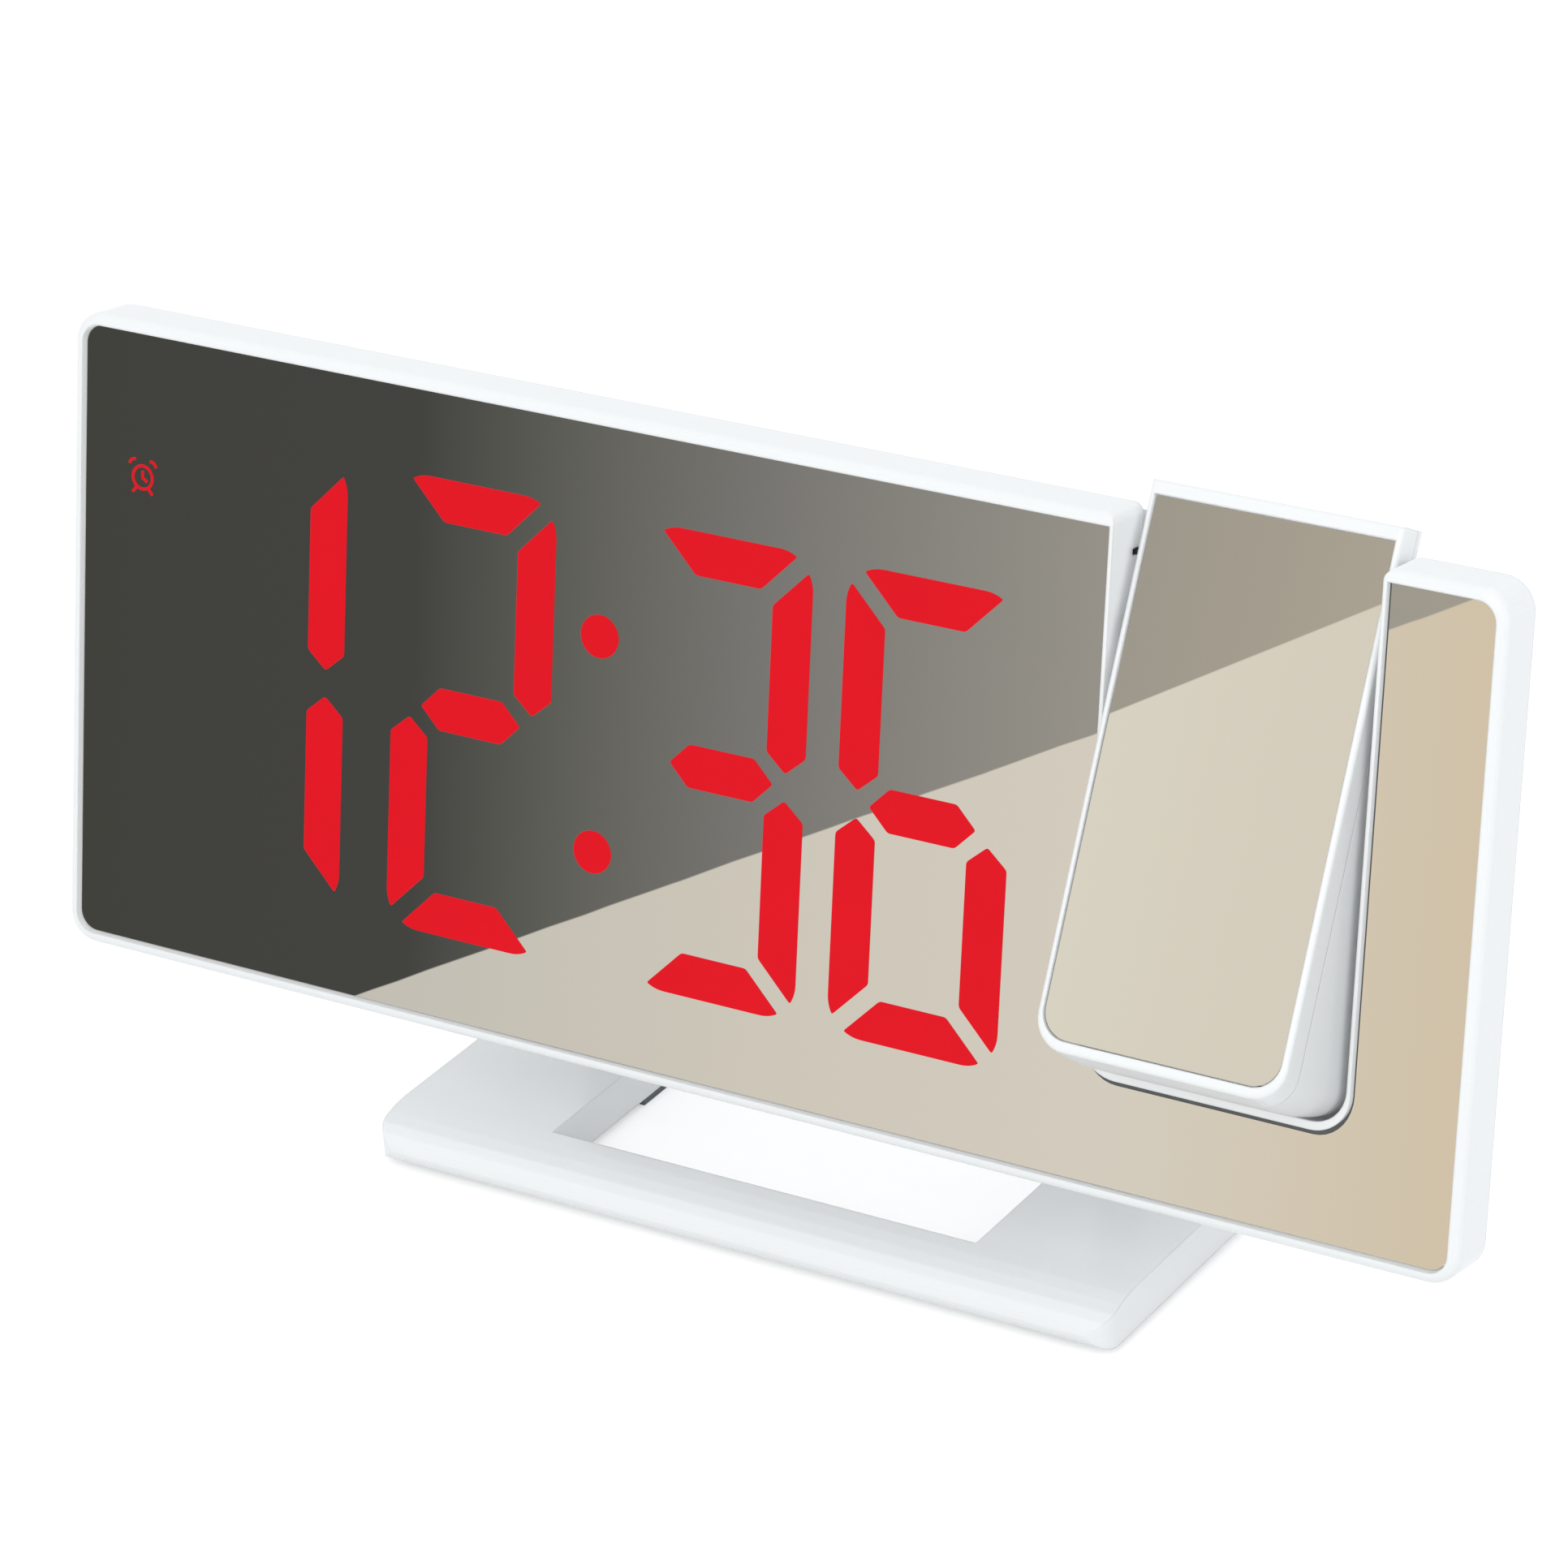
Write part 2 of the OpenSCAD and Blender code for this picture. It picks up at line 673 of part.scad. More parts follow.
module rear_cover() {
    color([0.93, 0.93, 0.92]) in_body() difference() {
        union() {
            difference() {
                union() {
                    cover_form();
                    bulge_form();
                }
                cover_hollow();
                translate([-bulge_half_w + wall, side_d, bulge_low + wall])
                    cube([bulge_w - 2 * wall, bulge_d - wall - side_d,
                          bulge_h - 2 * wall]);
            }
            intersection() {
                cover_blocks();
                union() {
                    cover_form();
                    bulge_form();
                }
            }
            cover_spigot();
        }
        pocket_form(side_d - spigot_d - over, pocket_d);
        notch_edges(side_d - spigot_d - over, cover_d + over);
        // above the hinge the arm's top swings out through the back
        translate([pocket_left, pocket_d - eps, pocket_back_z])
            cube([pocket_w, cover_d, body_h]);
        bay_void();
        for (p = screw_spots) {
            rod_y(p[0], p[1], screw_r + ease, boss_y - over, cover_d);
            rod_y(p[0], p[1], screw_head_r + ease, cover_d - 3.4, cover_d + over);
        }
        for (b = [0:5])
            rod_y(button_place(b)[0], button_place(b)[1], button_r + ease,
                  cover_floor - over, cover_d + over);
        rod_x(pocket_left - pin_in, pocket_left + over, arm_hinge_d,
              arm_hinge_z, arm_pin_r);
        rod_x(pocket_right - over, pocket_right + pin_in, arm_hinge_d,
              arm_hinge_z, arm_pin_r);
        for (s = [-1, 1])
            rod_x(s > 0 ? bulge_half_w - 6.5 : -bulge_half_w - over,
                  s > 0 ? bulge_half_w + over : -bulge_half_w + 6.5,
                  stand_hinge_d, stand_hinge_z, stand_pin_r);
        translate([usb_x - usb_w / 2 - ease, cover_floor - over,
                   usb_z - usb_h / 2 - ease])
            cube([usb_w + 2 * ease, wall + 2 * over, usb_h + 2 * ease]);
        sound_holes();
    }
}

module case_screws() {
    color("silver") in_body() for (p = screw_spots)
        screw_shape(p[0], p[1], cover_d - 1.2, 2.2, ledge_d + 1);
}

// ---- power --------------------------------------------------------------

module battery_door() {
    color([0.93, 0.93, 0.92]) in_body() union() {
        translate([-door_w / 2, bulge_d - door_t, bay_z - door_h / 2])
            difference() {
                cube([door_w, door_t, door_h]);
                for (i = [0:4])
                    translate([door_w / 2 - 8, door_t - 0.6, door_h - 9 + 1.6 * i])
                        cube([16, over, 0.8]);
            }
        // short rib that reaches to the middle cell
        translate([-8, cell_y + cell_r + 0.1, bay_z - 1])
            cube([16, bulge_d - door_t - cell_y - cell_r - 0.1 + eps, 2]);
    }
}

function cell_z(i) = bay_z + (i - 1) * cell_pitch;
function cell_way(i) = i == 1 ? -1 : 1;
cell_shift = (spring_l + 0.1) / 2;

module in_cell(i) {
    translate([cell_way(i) * cell_shift, cell_y, cell_z(i)])
        rotate([0, cell_way(i) * 90, 0]) children();
}

module battery_cells() {
    color([0.35, 0.45, 0.4]) in_body() for (i = [0:2]) in_cell(i)
        rotate_extrude() polygon([
            [0, -cell_l / 2], [cell_r - 0.4, -cell_l / 2],
            [cell_r, -cell_l / 2 + 0.4], [cell_r, cell_l / 2 - 1.2],
            [cell_r - 0.4, cell_l / 2 - 0.8], [1.9, cell_l / 2 - 0.8],
            [1.9, cell_l / 2], [0, cell_l / 2]
        ]);
}

// A leaf at each end of every cell; the minus end carries a coned spring.
module battery_contacts() {
    turns = 4;
    wire_r = 0.56;
    leaf_w = 7;
    sink = 0.1;                 // how far the first turn lies in its leaf
    coil = (spring_l - 2 * wire_r + sink) / (turns - 1);
    color("silver") in_body() for (i = [0:2]) in_cell(i) {
        for (z = [cell_l / 2, -cell_l / 2 - spring_l - plate_t])
            translate([-leaf_w / 2, -leaf_w / 2, z]) cube([leaf_w, leaf_w, plate_t]);
        for (t = [0:turns - 1])
            translate([0, 0, -cell_l / 2 - spring_l - sink + wire_r + t * coil])
                rotate_extrude() translate([3 - 0.35 * t, 0]) circle(wire_r);
    }
}

module usb_inlet() {
    mouth = cover_d - 0.6;
    color("silver") in_body() {
        translate([usb_x - usb_w / 2, board_back, usb_z - usb_h / 2])
            difference() {
                cube([usb_w, mouth - board_back, usb_h]);
                translate([0.4, 2, 0.4])
                    cube([usb_w - 0.8, mouth, usb_h - 0.8]);
            }
        translate([usb_x - 2, board_back + 1, usb_z - 0.3])
            cube([4, mouth - board_back - 1.8, 0.6]);
    }
}

module buzzer() {
    color([0.12, 0.12, 0.13]) in_body() difference() {
        rod_y(buzzer_x, buzzer_z, buzzer_r, board_back, cover_floor - 0.3);
        rod_y(buzzer_x, buzzer_z, 1, cover_floor - 2, cover_floor);
    }
}

// ---- buttons ------------------------------------------------------------

function button_place(b) = [
    button_spot_x + (b % 3) * button_pitch,
    button_spot_z + floor(b / 3) * button_pitch
];

module tact_switches() {
    side = 6;
    color([0.15, 0.15, 0.16]) in_body() for (b = [0:5]) {
        p = button_place(b);
        translate([p[0] - side / 2, board_back, p[1] - side / 2])
            cube([side, switch_h, side]);
        rod_y(p[0], p[1], 1.7, board_back + switch_h - eps,
              board_back + switch_h + plunger_h);
    }
}

// Cap, flange that stops it inside the cover, and a stem over its switch.
module button_shape(b) {
    p = button_place(b);
    stem_y = board_back + switch_h + plunger_h + button_play;
    color([0.9, 0.9, 0.9]) in_body() {
        translate([p[0], stem_y, p[1]]) rotate([-90, 0, 0]) rotate_extrude()
            polygon([
                [0, 0], [1.4, 0], [1.4, cover_floor - button_flange_t - stem_y],
                [button_flange_r, cover_floor - button_flange_t - stem_y],
                [button_flange_r, cover_floor - stem_y - eps],
                [button_r, cover_floor - stem_y - eps],
                [button_r, cover_d + button_out - 0.4 - stem_y],
                [button_r - 0.4, cover_d + button_out - stem_y],
                [0, cover_d + button_out - 0.25 - stem_y]
            ]);
    }
}

module button_set() { button_shape(0); }
module button_up() { button_shape(1); }
module button_down() { button_shape(2); }
module button_alarm() { button_shape(3); }
module button_light() { button_shape(4); }
module button_projector() { button_shape(5); }

// ---- arm hinge ----------------------------------------------------------

arm_left = arm_x - arm_w / 2;
arm_right = arm_x + arm_w / 2;

module arm_hinge_pins() {
    color("silver") in_body() {
        rod_x(pocket_left - pin_in, arm_left + 4, arm_hinge_d, arm_hinge_z,
              arm_pin_r);
        rod_x(arm_right - 4, pocket_right + pin_in, arm_hinge_d, arm_hinge_z,
              arm_pin_r);
    }
}

module washer(x0, x1, d, z, r_out, r_in) {
    difference() {
        rod_x(x0, x1, d, z, r_out);
        rod_x(x0 - over, x1 + over, d, z, r_in);
    }
}

module arm_hinge_washers() {
    play = 0.05;
    color("gray") in_body() {
        washer(pocket_left, arm_left - play, arm_hinge_d, arm_hinge_z,
               pin_boss_r, arm_pin_r + slip);
        washer(arm_right + play, pocket_right, arm_hinge_d, arm_hinge_z,
               pin_boss_r, arm_pin_r + slip);
    }
}

// ---- projector arm ------------------------------------------------------

module arm_outline(inset = 0, low = arm_low) {
    u_outline(arm_x, arm_w - 2 * inset, low + inset, arm_top - inset,
              arm_r - inset * 0.6);
}

// Front of the arm: its edge is round and its foot starts to follow the swing.
module arm_face_form() {
    hull() {
        for (a = [0:30:90]) {
            d = -arm_proud + arm_edge_r * (1 - cos(a));
            plate(d, d + layer_t) arm_outline(arm_edge_r * (1 - sin(a)), $fn = 32);
        }
        plate(arm_split - layer_t, arm_split) arm_outline(0, arm_split_low, $fn = 32);
    }
}

module arm_front_shell() {
    color("white") in_arm() difference() {
        union() {
            difference() {
                arm_face_form();
                plate(-over - arm_proud, arm_mirror_t) arm_mirror_outline(0);
                plate(arm_mirror_t + 1, arm_split + over) arm_outline(arm_wall);
            }
            for (s = [-1, 1])
                rod_y(arm_x + s * arm_screw_x, arm_screw_z, 2, arm_mirror_t,
                      arm_split + 3);
        }
        for (s = [-1, 1])
            rod_y(arm_x + s * arm_screw_x, arm_screw_z, screw_r + slip - 0.2,
                  arm_mirror_t + 1, arm_split + 4);
    }
}

module arm_mirror_outline(gap) {
    w = arm_w - 2 * arm_rim_x - 2 * gap;
    low = arm_low + arm_rim_low + gap;
    top = arm_top - arm_rim_top - gap;
    u_outline(arm_x, w, low, top, arm_r - arm_rim_x);
}

module arm_mirror() {
    color([0.55, 0.53, 0.5]) in_arm()
        plate(0, arm_mirror_t) arm_mirror_outline(mirror_gap);
}

// Outline of the room inside the arm's deep housing, below its lens barrel.
module arm_room() {
    u_outline(arm_x, arm_w - 2 * arm_wall, arm_low + arm_wall,
              arm_house_top - arm_wall, arm_r - arm_wall * 0.6);
}

module arm_house_form() {
    intersection() {
        translate([arm_x, 0, arm_low - arm_r])
            linear_extrude(arm_house_top - arm_low + arm_r)
                tail_round(arm_w, arm_split, arm_d, 2);
        swing_form(arm_w, arm_swing_r, arm_r);
    }
}

module rod_z(x, d, r, z0, z1) {
    translate([x, d, z0]) cylinder(r = r, h = z1 - z0);
}

module arm_rear_shell() {
    color([0.95, 0.95, 0.95]) in_arm() difference() {
        union() {
            difference() {
                union() {
                    arm_house_form();
                    translate([arm_x, 0, arm_house_top - over])
                        linear_extrude(arm_top - arm_house_top + over)
                            tail_round(arm_w, arm_split, arm_slab_d, slab_r);
                    rod_z(arm_x, barrel_y, barrel_r + barrel_wall,
                          arm_house_top - 3, barrel_top);
                }
                plate(arm_split - over, arm_floor) arm_room();
            }
            for (s = [-1, 1]) {
                rod_y(arm_x + s * arm_screw_x, arm_screw_z, arm_post_r,
                      arm_split + 3, arm_floor + eps);
                // blocks that the hinge pins turn in
                rod_x(s > 0 ? arm_right - 5 : arm_left + eps,
                      s > 0 ? arm_right - eps : arm_left + 5, arm_hinge_d,
                      arm_hinge_z, pin_boss_r);
            }
        }
        rod_z(arm_x, barrel_y, barrel_r, arm_hinge_z - 6, arm_top + over);
        // room for the focus ring's knurled head and for its snap lip
        rod_z(arm_x, barrel_y, head_r + 0.3, barrel_top, arm_top + over);
        rod_z(arm_x, barrel_y, ring_lip_r + 0.15, ring_low - 0.3, focus_z);
        for (s = [-1, 1]) {
            rod_y(arm_x + s * arm_screw_x, arm_screw_z, screw_r + ease,
                  arm_split, arm_d + over);
            rod_y(arm_x + s * arm_screw_x, arm_screw_z, 2.2, arm_d - 2.4,
                  arm_d + over);
            rod_x(s > 0 ? arm_right - 5 - over : arm_left - over,
                  s > 0 ? arm_right + over : arm_left + 5 + over, arm_hinge_d,
                  arm_hinge_z, arm_pin_r + slip);
        }
    }
}

module arm_screws() {
    color("silver") in_arm() for (s = [-1, 1]) {
        x = arm_x + s * arm_screw_x;
        rod_y(x, arm_screw_z, 2, arm_d - 2.4, arm_d - 0.8);
        rod_y(x, arm_screw_z, screw_r - 0.2, arm_mirror_t + 1.5, arm_d - 2.3);
    }
}

// ---- light engine -------------------------------------------------------

// Black chassis: light-emitting diode at the foot, then condenser and slide.
module light_box() {
    color([0.1, 0.1, 0.11]) in_arm()
        translate([arm_x - box_w / 2, box_front, box_low]) difference() {
            cube([box_w, box_back - box_front, box_h]);
            translate([box_wall, box_wall, 2 * box_wall])
                cube([box_w - 2 * box_wall, box_back - box_front - 2 * box_wall,
                      box_h]);
            translate([box_wall, box_wall, -over])
                cube([box_w - 2 * box_wall, box_back - box_front - 2 * box_wall,
                      over + 1.2]);
            translate([box_w / 2, box_mid_y - box_front, -over])
                cylinder(r = 3, h = 5);
        }
}

module projector_led_board() {
    color("darkgreen") in_arm() {
        translate([arm_x - box_w / 2 + box_wall + ease,
                   box_front + box_wall + ease, box_low - 0.4])
            cube([box_w - 2 * box_wall - 2 * ease,
                  box_back - box_front - 2 * box_wall - 2 * ease, 1.6]);
        translate([arm_x, box_mid_y, box_low + 1.2 - eps])
            cylinder(r1 = 2.5, r2 = 2.2, h = 1.8);
        translate([arm_x, box_mid_y, box_low + 3 - eps])
            intersection() {
                sphere(2.2);
                translate([-3, -3, 0]) cube(6);
            }
    }
}

module condenser_lens() {
    z = box_low + box_h * 0.45;
    condenser_r = 10.5;
    lens_bulge = 1.5;
    side = box_w - 2 * box_wall;
    deep = box_back - box_front - 2 * box_wall;
    color([0.8, 0.9, 0.95]) in_arm() {
        translate([arm_x - side / 2, box_front + box_wall, z])
            cube([side, deep, 1.5]);
        translate([arm_x, box_mid_y, z + 1.5 - eps]) intersection() {
            translate([0, 0, lens_bulge - condenser_r]) sphere(condenser_r);
            cylinder(r = deep / 2 - 0.15, h = 2 * lens_bulge);
        }
    }
}

module time_slide() {
    slide_t = 1.8;
    slide_gap = 0.8;            // from the slide's top to the chassis's
    side = box_w - 2 * box_wall;
    deep = box_back - box_front - 2 * box_wall;
    color([0.2, 0.22, 0.25]) in_arm()
        translate([arm_x - side / 2, box_front + box_wall,
                   box_top - slide_gap - slide_t])
            cube([side, deep, slide_t]);
}

// ---- focusing lens ------------------------------------------------------

head_z = barrel_top + 0.1;
head_top = arm_top - 0.5;
head_r = barrel_r + 0.9;

module focus_ring() {
    grips = 24;
    color([0.15, 0.15, 0.16]) in_arm() translate([arm_x, barrel_y, 0])
        difference() {
            union() {
                translate([0, 0, ring_low])
                    cylinder(r = barrel_r - slip, h = head_z - ring_low + eps);
                // snap lip that holds the ring down
                translate([0, 0, ring_low])
                    cylinder(r = ring_lip_r, h = focus_z - 0.1 - ring_low);
                translate([0, 0, head_z]) linear_extrude(head_top - head_z)
                    difference() {
                        circle(head_r);
                        for (i = [0:grips - 1]) rotate(i * 360 / grips)
                            translate([head_r + 0.15, 0]) circle(0.5, $fn = 16);
                    }
            }
            translate([0, 0, ring_low - over])
                cylinder(r = carrier_r + slip, h = head_top - ring_low + 2 * over);
        }
}

module lens_carrier() {
    color([0.12, 0.12, 0.13]) in_arm() translate([arm_x, barrel_y, carrier_z])
        difference() {
            cylinder(r = carrier_r, h = carrier_l);
            translate([0, 0, -over])
                cylinder(r = lens_r - 0.6, h = carrier_l + 2 * over);
            translate([0, 0, carrier_l - 3.2]) cylinder(r = lens_r, h = 5);
        }
}

module projection_lens() {
    seat = carrier_z + carrier_l - 3.2;
    color([0.85, 0.92, 0.97]) in_arm() translate([arm_x, barrel_y, seat]) {
        cylinder(r = lens_r, h = 1);
        translate([0, 0, 1 - eps]) intersection() {
            translate([0, 0, -6.9]) sphere(8.2);
            cylinder(r = lens_r, h = 4);
        }
    }
}

// ---- stand --------------------------------------------------------------

// Side view of the ring: a blunt elliptical nose, a flat top and a round tail.
function ring_profile() = let (
    nose_l = 7.4, belly = 2.3, mid = foot_t + 0.36 * ring_t, tail = ring_t / 2
) concat(
    [for (a = [270:-15:180])
        [ring_y0 + belly + belly * cos(a), mid + (mid - foot_t) * sin(a)]],
    [for (a = [165:-15:90])
        [ring_y0 + nose_l + nose_l * cos(a), mid + (ring_top - mid) * sin(a)]],
    [for (a = [90:-15:-90])
        [ring_y1 - tail + tail * cos(a), foot_t + tail + tail * sin(a)]]
);

module ring_plan() {
    plan_r = 3;
    open_l = ring_l - ring_front - ring_rear;
    difference() {
        translate([0, (ring_y0 + ring_y1) / 2])
            rounded_rect(ring_w, ring_l, plan_r);
        translate([0, ring_y0 + ring_front + open_l / 2])
            square([ring_open_w, open_l], center = true);
    }
}

// Side view of an ear that rises from the ring to the hinge.
module ear_outline() {
    foot0 = hinge_y + 1;
    foot1 = hinge_y + 21;
    translate([hinge_y, hinge_z]) circle(ear_r);
    polygon([
        [foot0, ring_top - 0.5], [foot1, ring_top - 0.5],
        [hinge_y + ear_r * cos(25), hinge_z + ear_r * sin(25)],
        [hinge_y - ear_r * cos(8), hinge_z - ear_r * sin(8)]
    ]);
}

module stand_ring() {
    color("white") in_stand() difference() {
        union() {
            intersection() {
                extrude_x(-ring_w / 2, ring_w / 2) polygon(ring_profile());
                linear_extrude(ring_top + over) ring_plan();
            }
            extrude_x(ear_in, ear_out) ear_outline();
            extrude_x(-ear_out, -ear_in) ear_outline();
        }
        for (s = [-1, 1])
            rod_x(s > 0 ? ear_in - over : -ear_out - over,
                  s > 0 ? ear_out + over : -ear_in + over,
                  hinge_y, hinge_z, stand_pin_r + slip);
    }
}

module stand_feet() {
    bar_w = (ring_w - ring_open_w) / 2;
    rear_l = ring_y1 - 4 - foot_y;
    color([0.35, 0.37, 0.4]) in_stand() for (s = [-1, 1]) {
        translate([s > 0 ? ring_open_w / 2 : -ring_open_w / 2 - bar_w + 3, foot_y,
                   0])
            cube([bar_w - 3, rear_l, foot_t]);
        translate([s * (ring_w / 2 - 9) - 5, ring_y0 + 3.2, 0])
            cube([10, 7, foot_t]);
    }
}

module stand_hinge_pins() {
    color("silver") in_body() for (s = [-1, 1]) {
        rod_x(s > 0 ? bulge_half_w - 6.5 : -ear_out - ease,
              s > 0 ? ear_out + ease : -bulge_half_w + 6.5,
              stand_hinge_d, stand_hinge_z, stand_pin_r);
        rod_x(s > 0 ? ear_out + ease : -ear_out - ease - 1.2,
              s > 0 ? ear_out + ease + 1.2 : -ear_out - ease,
              stand_hinge_d, stand_hinge_z, stand_pin_r + 1.4);
    }
}

module stand_hinge_washers() {
    play = 0.05;
    color("gray") in_body() for (s = [-1, 1])
        washer(s > 0 ? bulge_half_w : -ear_in + play,
               s > 0 ? ear_in - play : -bulge_half_w,
               stand_hinge_d, stand_hinge_z, stand_pin_r + 2, stand_pin_r + slip);
}

// ---- the clock ----------------------------------------------------------

front_bezel();
mirror_panel();
segment_reflector();
segment_diffusers();
segment_leds();
display_board();
rear_cover();
case_screws();
battery_door();
battery_cells();
battery_contacts();
usb_inlet();
buzzer();
tact_switches();
button_set();
button_up();
button_down();
button_alarm();
button_light();
button_projector();
arm_hinge_pins();
arm_hinge_washers();
arm_front_shell();
arm_mirror();
arm_rear_shell();
arm_screws();
light_box();
projector_led_board();
condenser_lens();
time_slide();
focus_ring();
lens_carrier();
projection_lens();
stand_ring();
stand_feet();
stand_hinge_pins();
stand_hinge_washers();
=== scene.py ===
"""Looks of a projection alarm clock: a mirrored clock body on a ring stand, with
a projector arm that swings out of its face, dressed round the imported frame."""
import json

import bmesh
import bpy
import numpy as np
from mathutils import Matrix

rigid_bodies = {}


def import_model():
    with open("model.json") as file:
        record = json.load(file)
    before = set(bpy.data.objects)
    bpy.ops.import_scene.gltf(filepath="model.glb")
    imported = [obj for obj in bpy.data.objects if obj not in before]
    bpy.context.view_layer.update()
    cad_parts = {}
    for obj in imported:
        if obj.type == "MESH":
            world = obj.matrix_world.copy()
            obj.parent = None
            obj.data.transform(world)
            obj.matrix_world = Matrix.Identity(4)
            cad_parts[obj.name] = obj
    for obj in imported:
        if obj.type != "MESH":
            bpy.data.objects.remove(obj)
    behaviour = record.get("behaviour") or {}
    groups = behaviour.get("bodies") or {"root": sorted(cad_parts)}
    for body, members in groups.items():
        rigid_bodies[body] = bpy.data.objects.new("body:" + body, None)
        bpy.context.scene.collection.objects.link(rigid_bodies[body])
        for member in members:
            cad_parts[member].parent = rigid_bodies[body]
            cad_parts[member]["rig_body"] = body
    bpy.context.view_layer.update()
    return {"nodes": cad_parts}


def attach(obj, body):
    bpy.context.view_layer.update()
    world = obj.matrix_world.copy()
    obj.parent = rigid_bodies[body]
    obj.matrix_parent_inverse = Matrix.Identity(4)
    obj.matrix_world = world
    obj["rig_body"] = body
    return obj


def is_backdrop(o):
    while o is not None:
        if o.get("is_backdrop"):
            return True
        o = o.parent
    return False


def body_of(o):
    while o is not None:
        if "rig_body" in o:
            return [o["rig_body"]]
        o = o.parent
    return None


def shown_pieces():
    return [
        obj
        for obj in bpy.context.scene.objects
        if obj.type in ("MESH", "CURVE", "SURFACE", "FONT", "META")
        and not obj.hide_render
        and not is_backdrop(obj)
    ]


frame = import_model()
nodes = frame["nodes"]


# White mouldings: the bezel, rear cover, battery door, arm shells and ring stand.
# They are injection moulded in white ABS, satin outside, and the tool leaves a
# very fine grain on them with slow changes of sheen where the plastic flowed.
noise_low, noise_high = 0.3, 0.7
tint_waves, sheen_waves = 22.0, 160.0  # in a metre
grain_depth = 0.00004  # metres
mix_first, mix_second = 6, 7  # the colour inputs of a Mix node, which share their names


def wire(tree, *links):
    """Joins pairs of (node, output name) and (node, input name) in a material."""
    for (source, out), (target, into) in links:
        tree.links.new(source.outputs[out], target.inputs[into])


def new_material(name):
    """An empty material with its node tree, shader and Object coordinates."""
    material = bpy.data.materials.new(name)
    material.use_nodes = True
    tree = material.node_tree
    return material, tree, tree.nodes["Principled BSDF"], tree.nodes.new("ShaderNodeTexCoord")


def noise(tree, place, scale, detail=2.0, output="Object"):
    """Noise of so many waves per metre, read at the piece's own coordinates."""
    texture = tree.nodes.new("ShaderNodeTexNoise")
    texture.inputs["Scale"].default_value = scale
    texture.inputs["Detail"].default_value = detail
    wire(tree, ((place, output), (texture, "Vector")))
    return texture


def spread(tree, texture, low, high):
    """Stretches a noise's middle, where nearly all of it lies, over the range low to high."""
    ranged = tree.nodes.new("ShaderNodeMapRange")
    ranged.inputs["From Min"].default_value = noise_low
    ranged.inputs["From Max"].default_value = noise_high
    ranged.inputs["To Min"].default_value = low
    ranged.inputs["To Max"].default_value = high
    wire(tree, ((texture, "Fac"), (ranged, "Value")))
    return ranged


def tinted(tree, factor, first, second):
    """A colour that runs from first to second as factor goes from 0 to 1."""
    mix = tree.nodes.new("ShaderNodeMix")
    mix.data_type = "RGBA"
    mix.inputs[mix_first].default_value = (*first, 1.0)
    mix.inputs[mix_second].default_value = (*second, 1.0)
    wire(tree, ((factor, "Result"), (mix, "Factor")))
    return mix


def grained(tree, shader, place, scale, strength, distance, edge=0.00035):
    """Bump from a fine noise over rounded edges.

    The distance and the edge's radius are in metres, the strength from 0 to 1."""
    eased = tree.nodes.new("ShaderNodeBevel")
    eased.samples = 6
    eased.inputs["Radius"].default_value = edge
    bump = tree.nodes.new("ShaderNodeBump")
    bump.inputs["Strength"].default_value = strength
    bump.inputs["Distance"].default_value = distance
    wire(tree, ((noise(tree, place, scale, detail=3.0), "Fac"), (bump, "Height")),
         ((eased, "Normal"), (bump, "Normal")), ((bump, "Normal"), (shader, "Normal")))


def moulding(name, colour, shade, rough, grain=2600.0, strength=0.12):
    """Moulded plastic: a slow tint, a sheen that wanders between two roughnesses, fine grain."""
    material, tree, shader, place = new_material(name)
    slow = spread(tree, noise(tree, place, tint_waves), low=0.0, high=1.0)
    tint = tinted(tree, slow, colour, shade)
    sheen = spread(tree, noise(tree, place, sheen_waves), *rough)
    wire(tree, ((tint, "Result"), (shader, "Base Color")),
         ((sheen, "Result"), (shader, "Roughness")))
    grained(tree, shader, place, grain, strength, grain_depth)
    return material


def finish(material, *names):
    """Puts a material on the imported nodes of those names."""
    for name in names:
        for slot in nodes[name].material_slots:
            slot.material = material


case_white = moulding("case_white", (0.885, 0.893, 0.898), (0.875, 0.885, 0.892), (0.29, 0.34),
                      grain=900.0, strength=0.08)
case_shader = case_white.node_tree.nodes["Principled BSDF"]
case_shader.inputs["Coat Weight"].default_value = 0.25
case_shader.inputs["Coat Roughness"].default_value = 0.12
finish(case_white, "front_bezel", "arm_front_shell", "arm_rear_shell", "stand_ring")

rear_white = moulding("rear_white", (0.83, 0.84, 0.845), (0.815, 0.825, 0.83), (0.44, 0.52),
                      grain=1500.0, strength=0.25)
finish(rear_white, "rear_cover", "battery_door")


# Mirror panels: one on the clock's face and one on the projector arm. Each is a
# sheet of clear acrylic with a thin metal film, which hides what is behind it
# until the display lights up. Handling leaves the faintest haze.
def mirror_film(name, colour):
    """A metal film whose roughness rises a little where a wide noise is high."""
    material, tree, shader, place = new_material(name)
    shader.inputs["Base Color"].default_value = (*colour, 1.0)
    shader.inputs["Metallic"].default_value = 1.0
    haze = spread(tree, noise(tree, place, scale=35.0, detail=4.0), low=0.002, high=0.009)
    wire(tree, ((haze, "Result"), (shader, "Roughness")))
    return material


mirror_silver = mirror_film("mirror_silver", (0.46, 0.45, 0.434))
finish(mirror_silver, "mirror_panel", "arm_mirror")


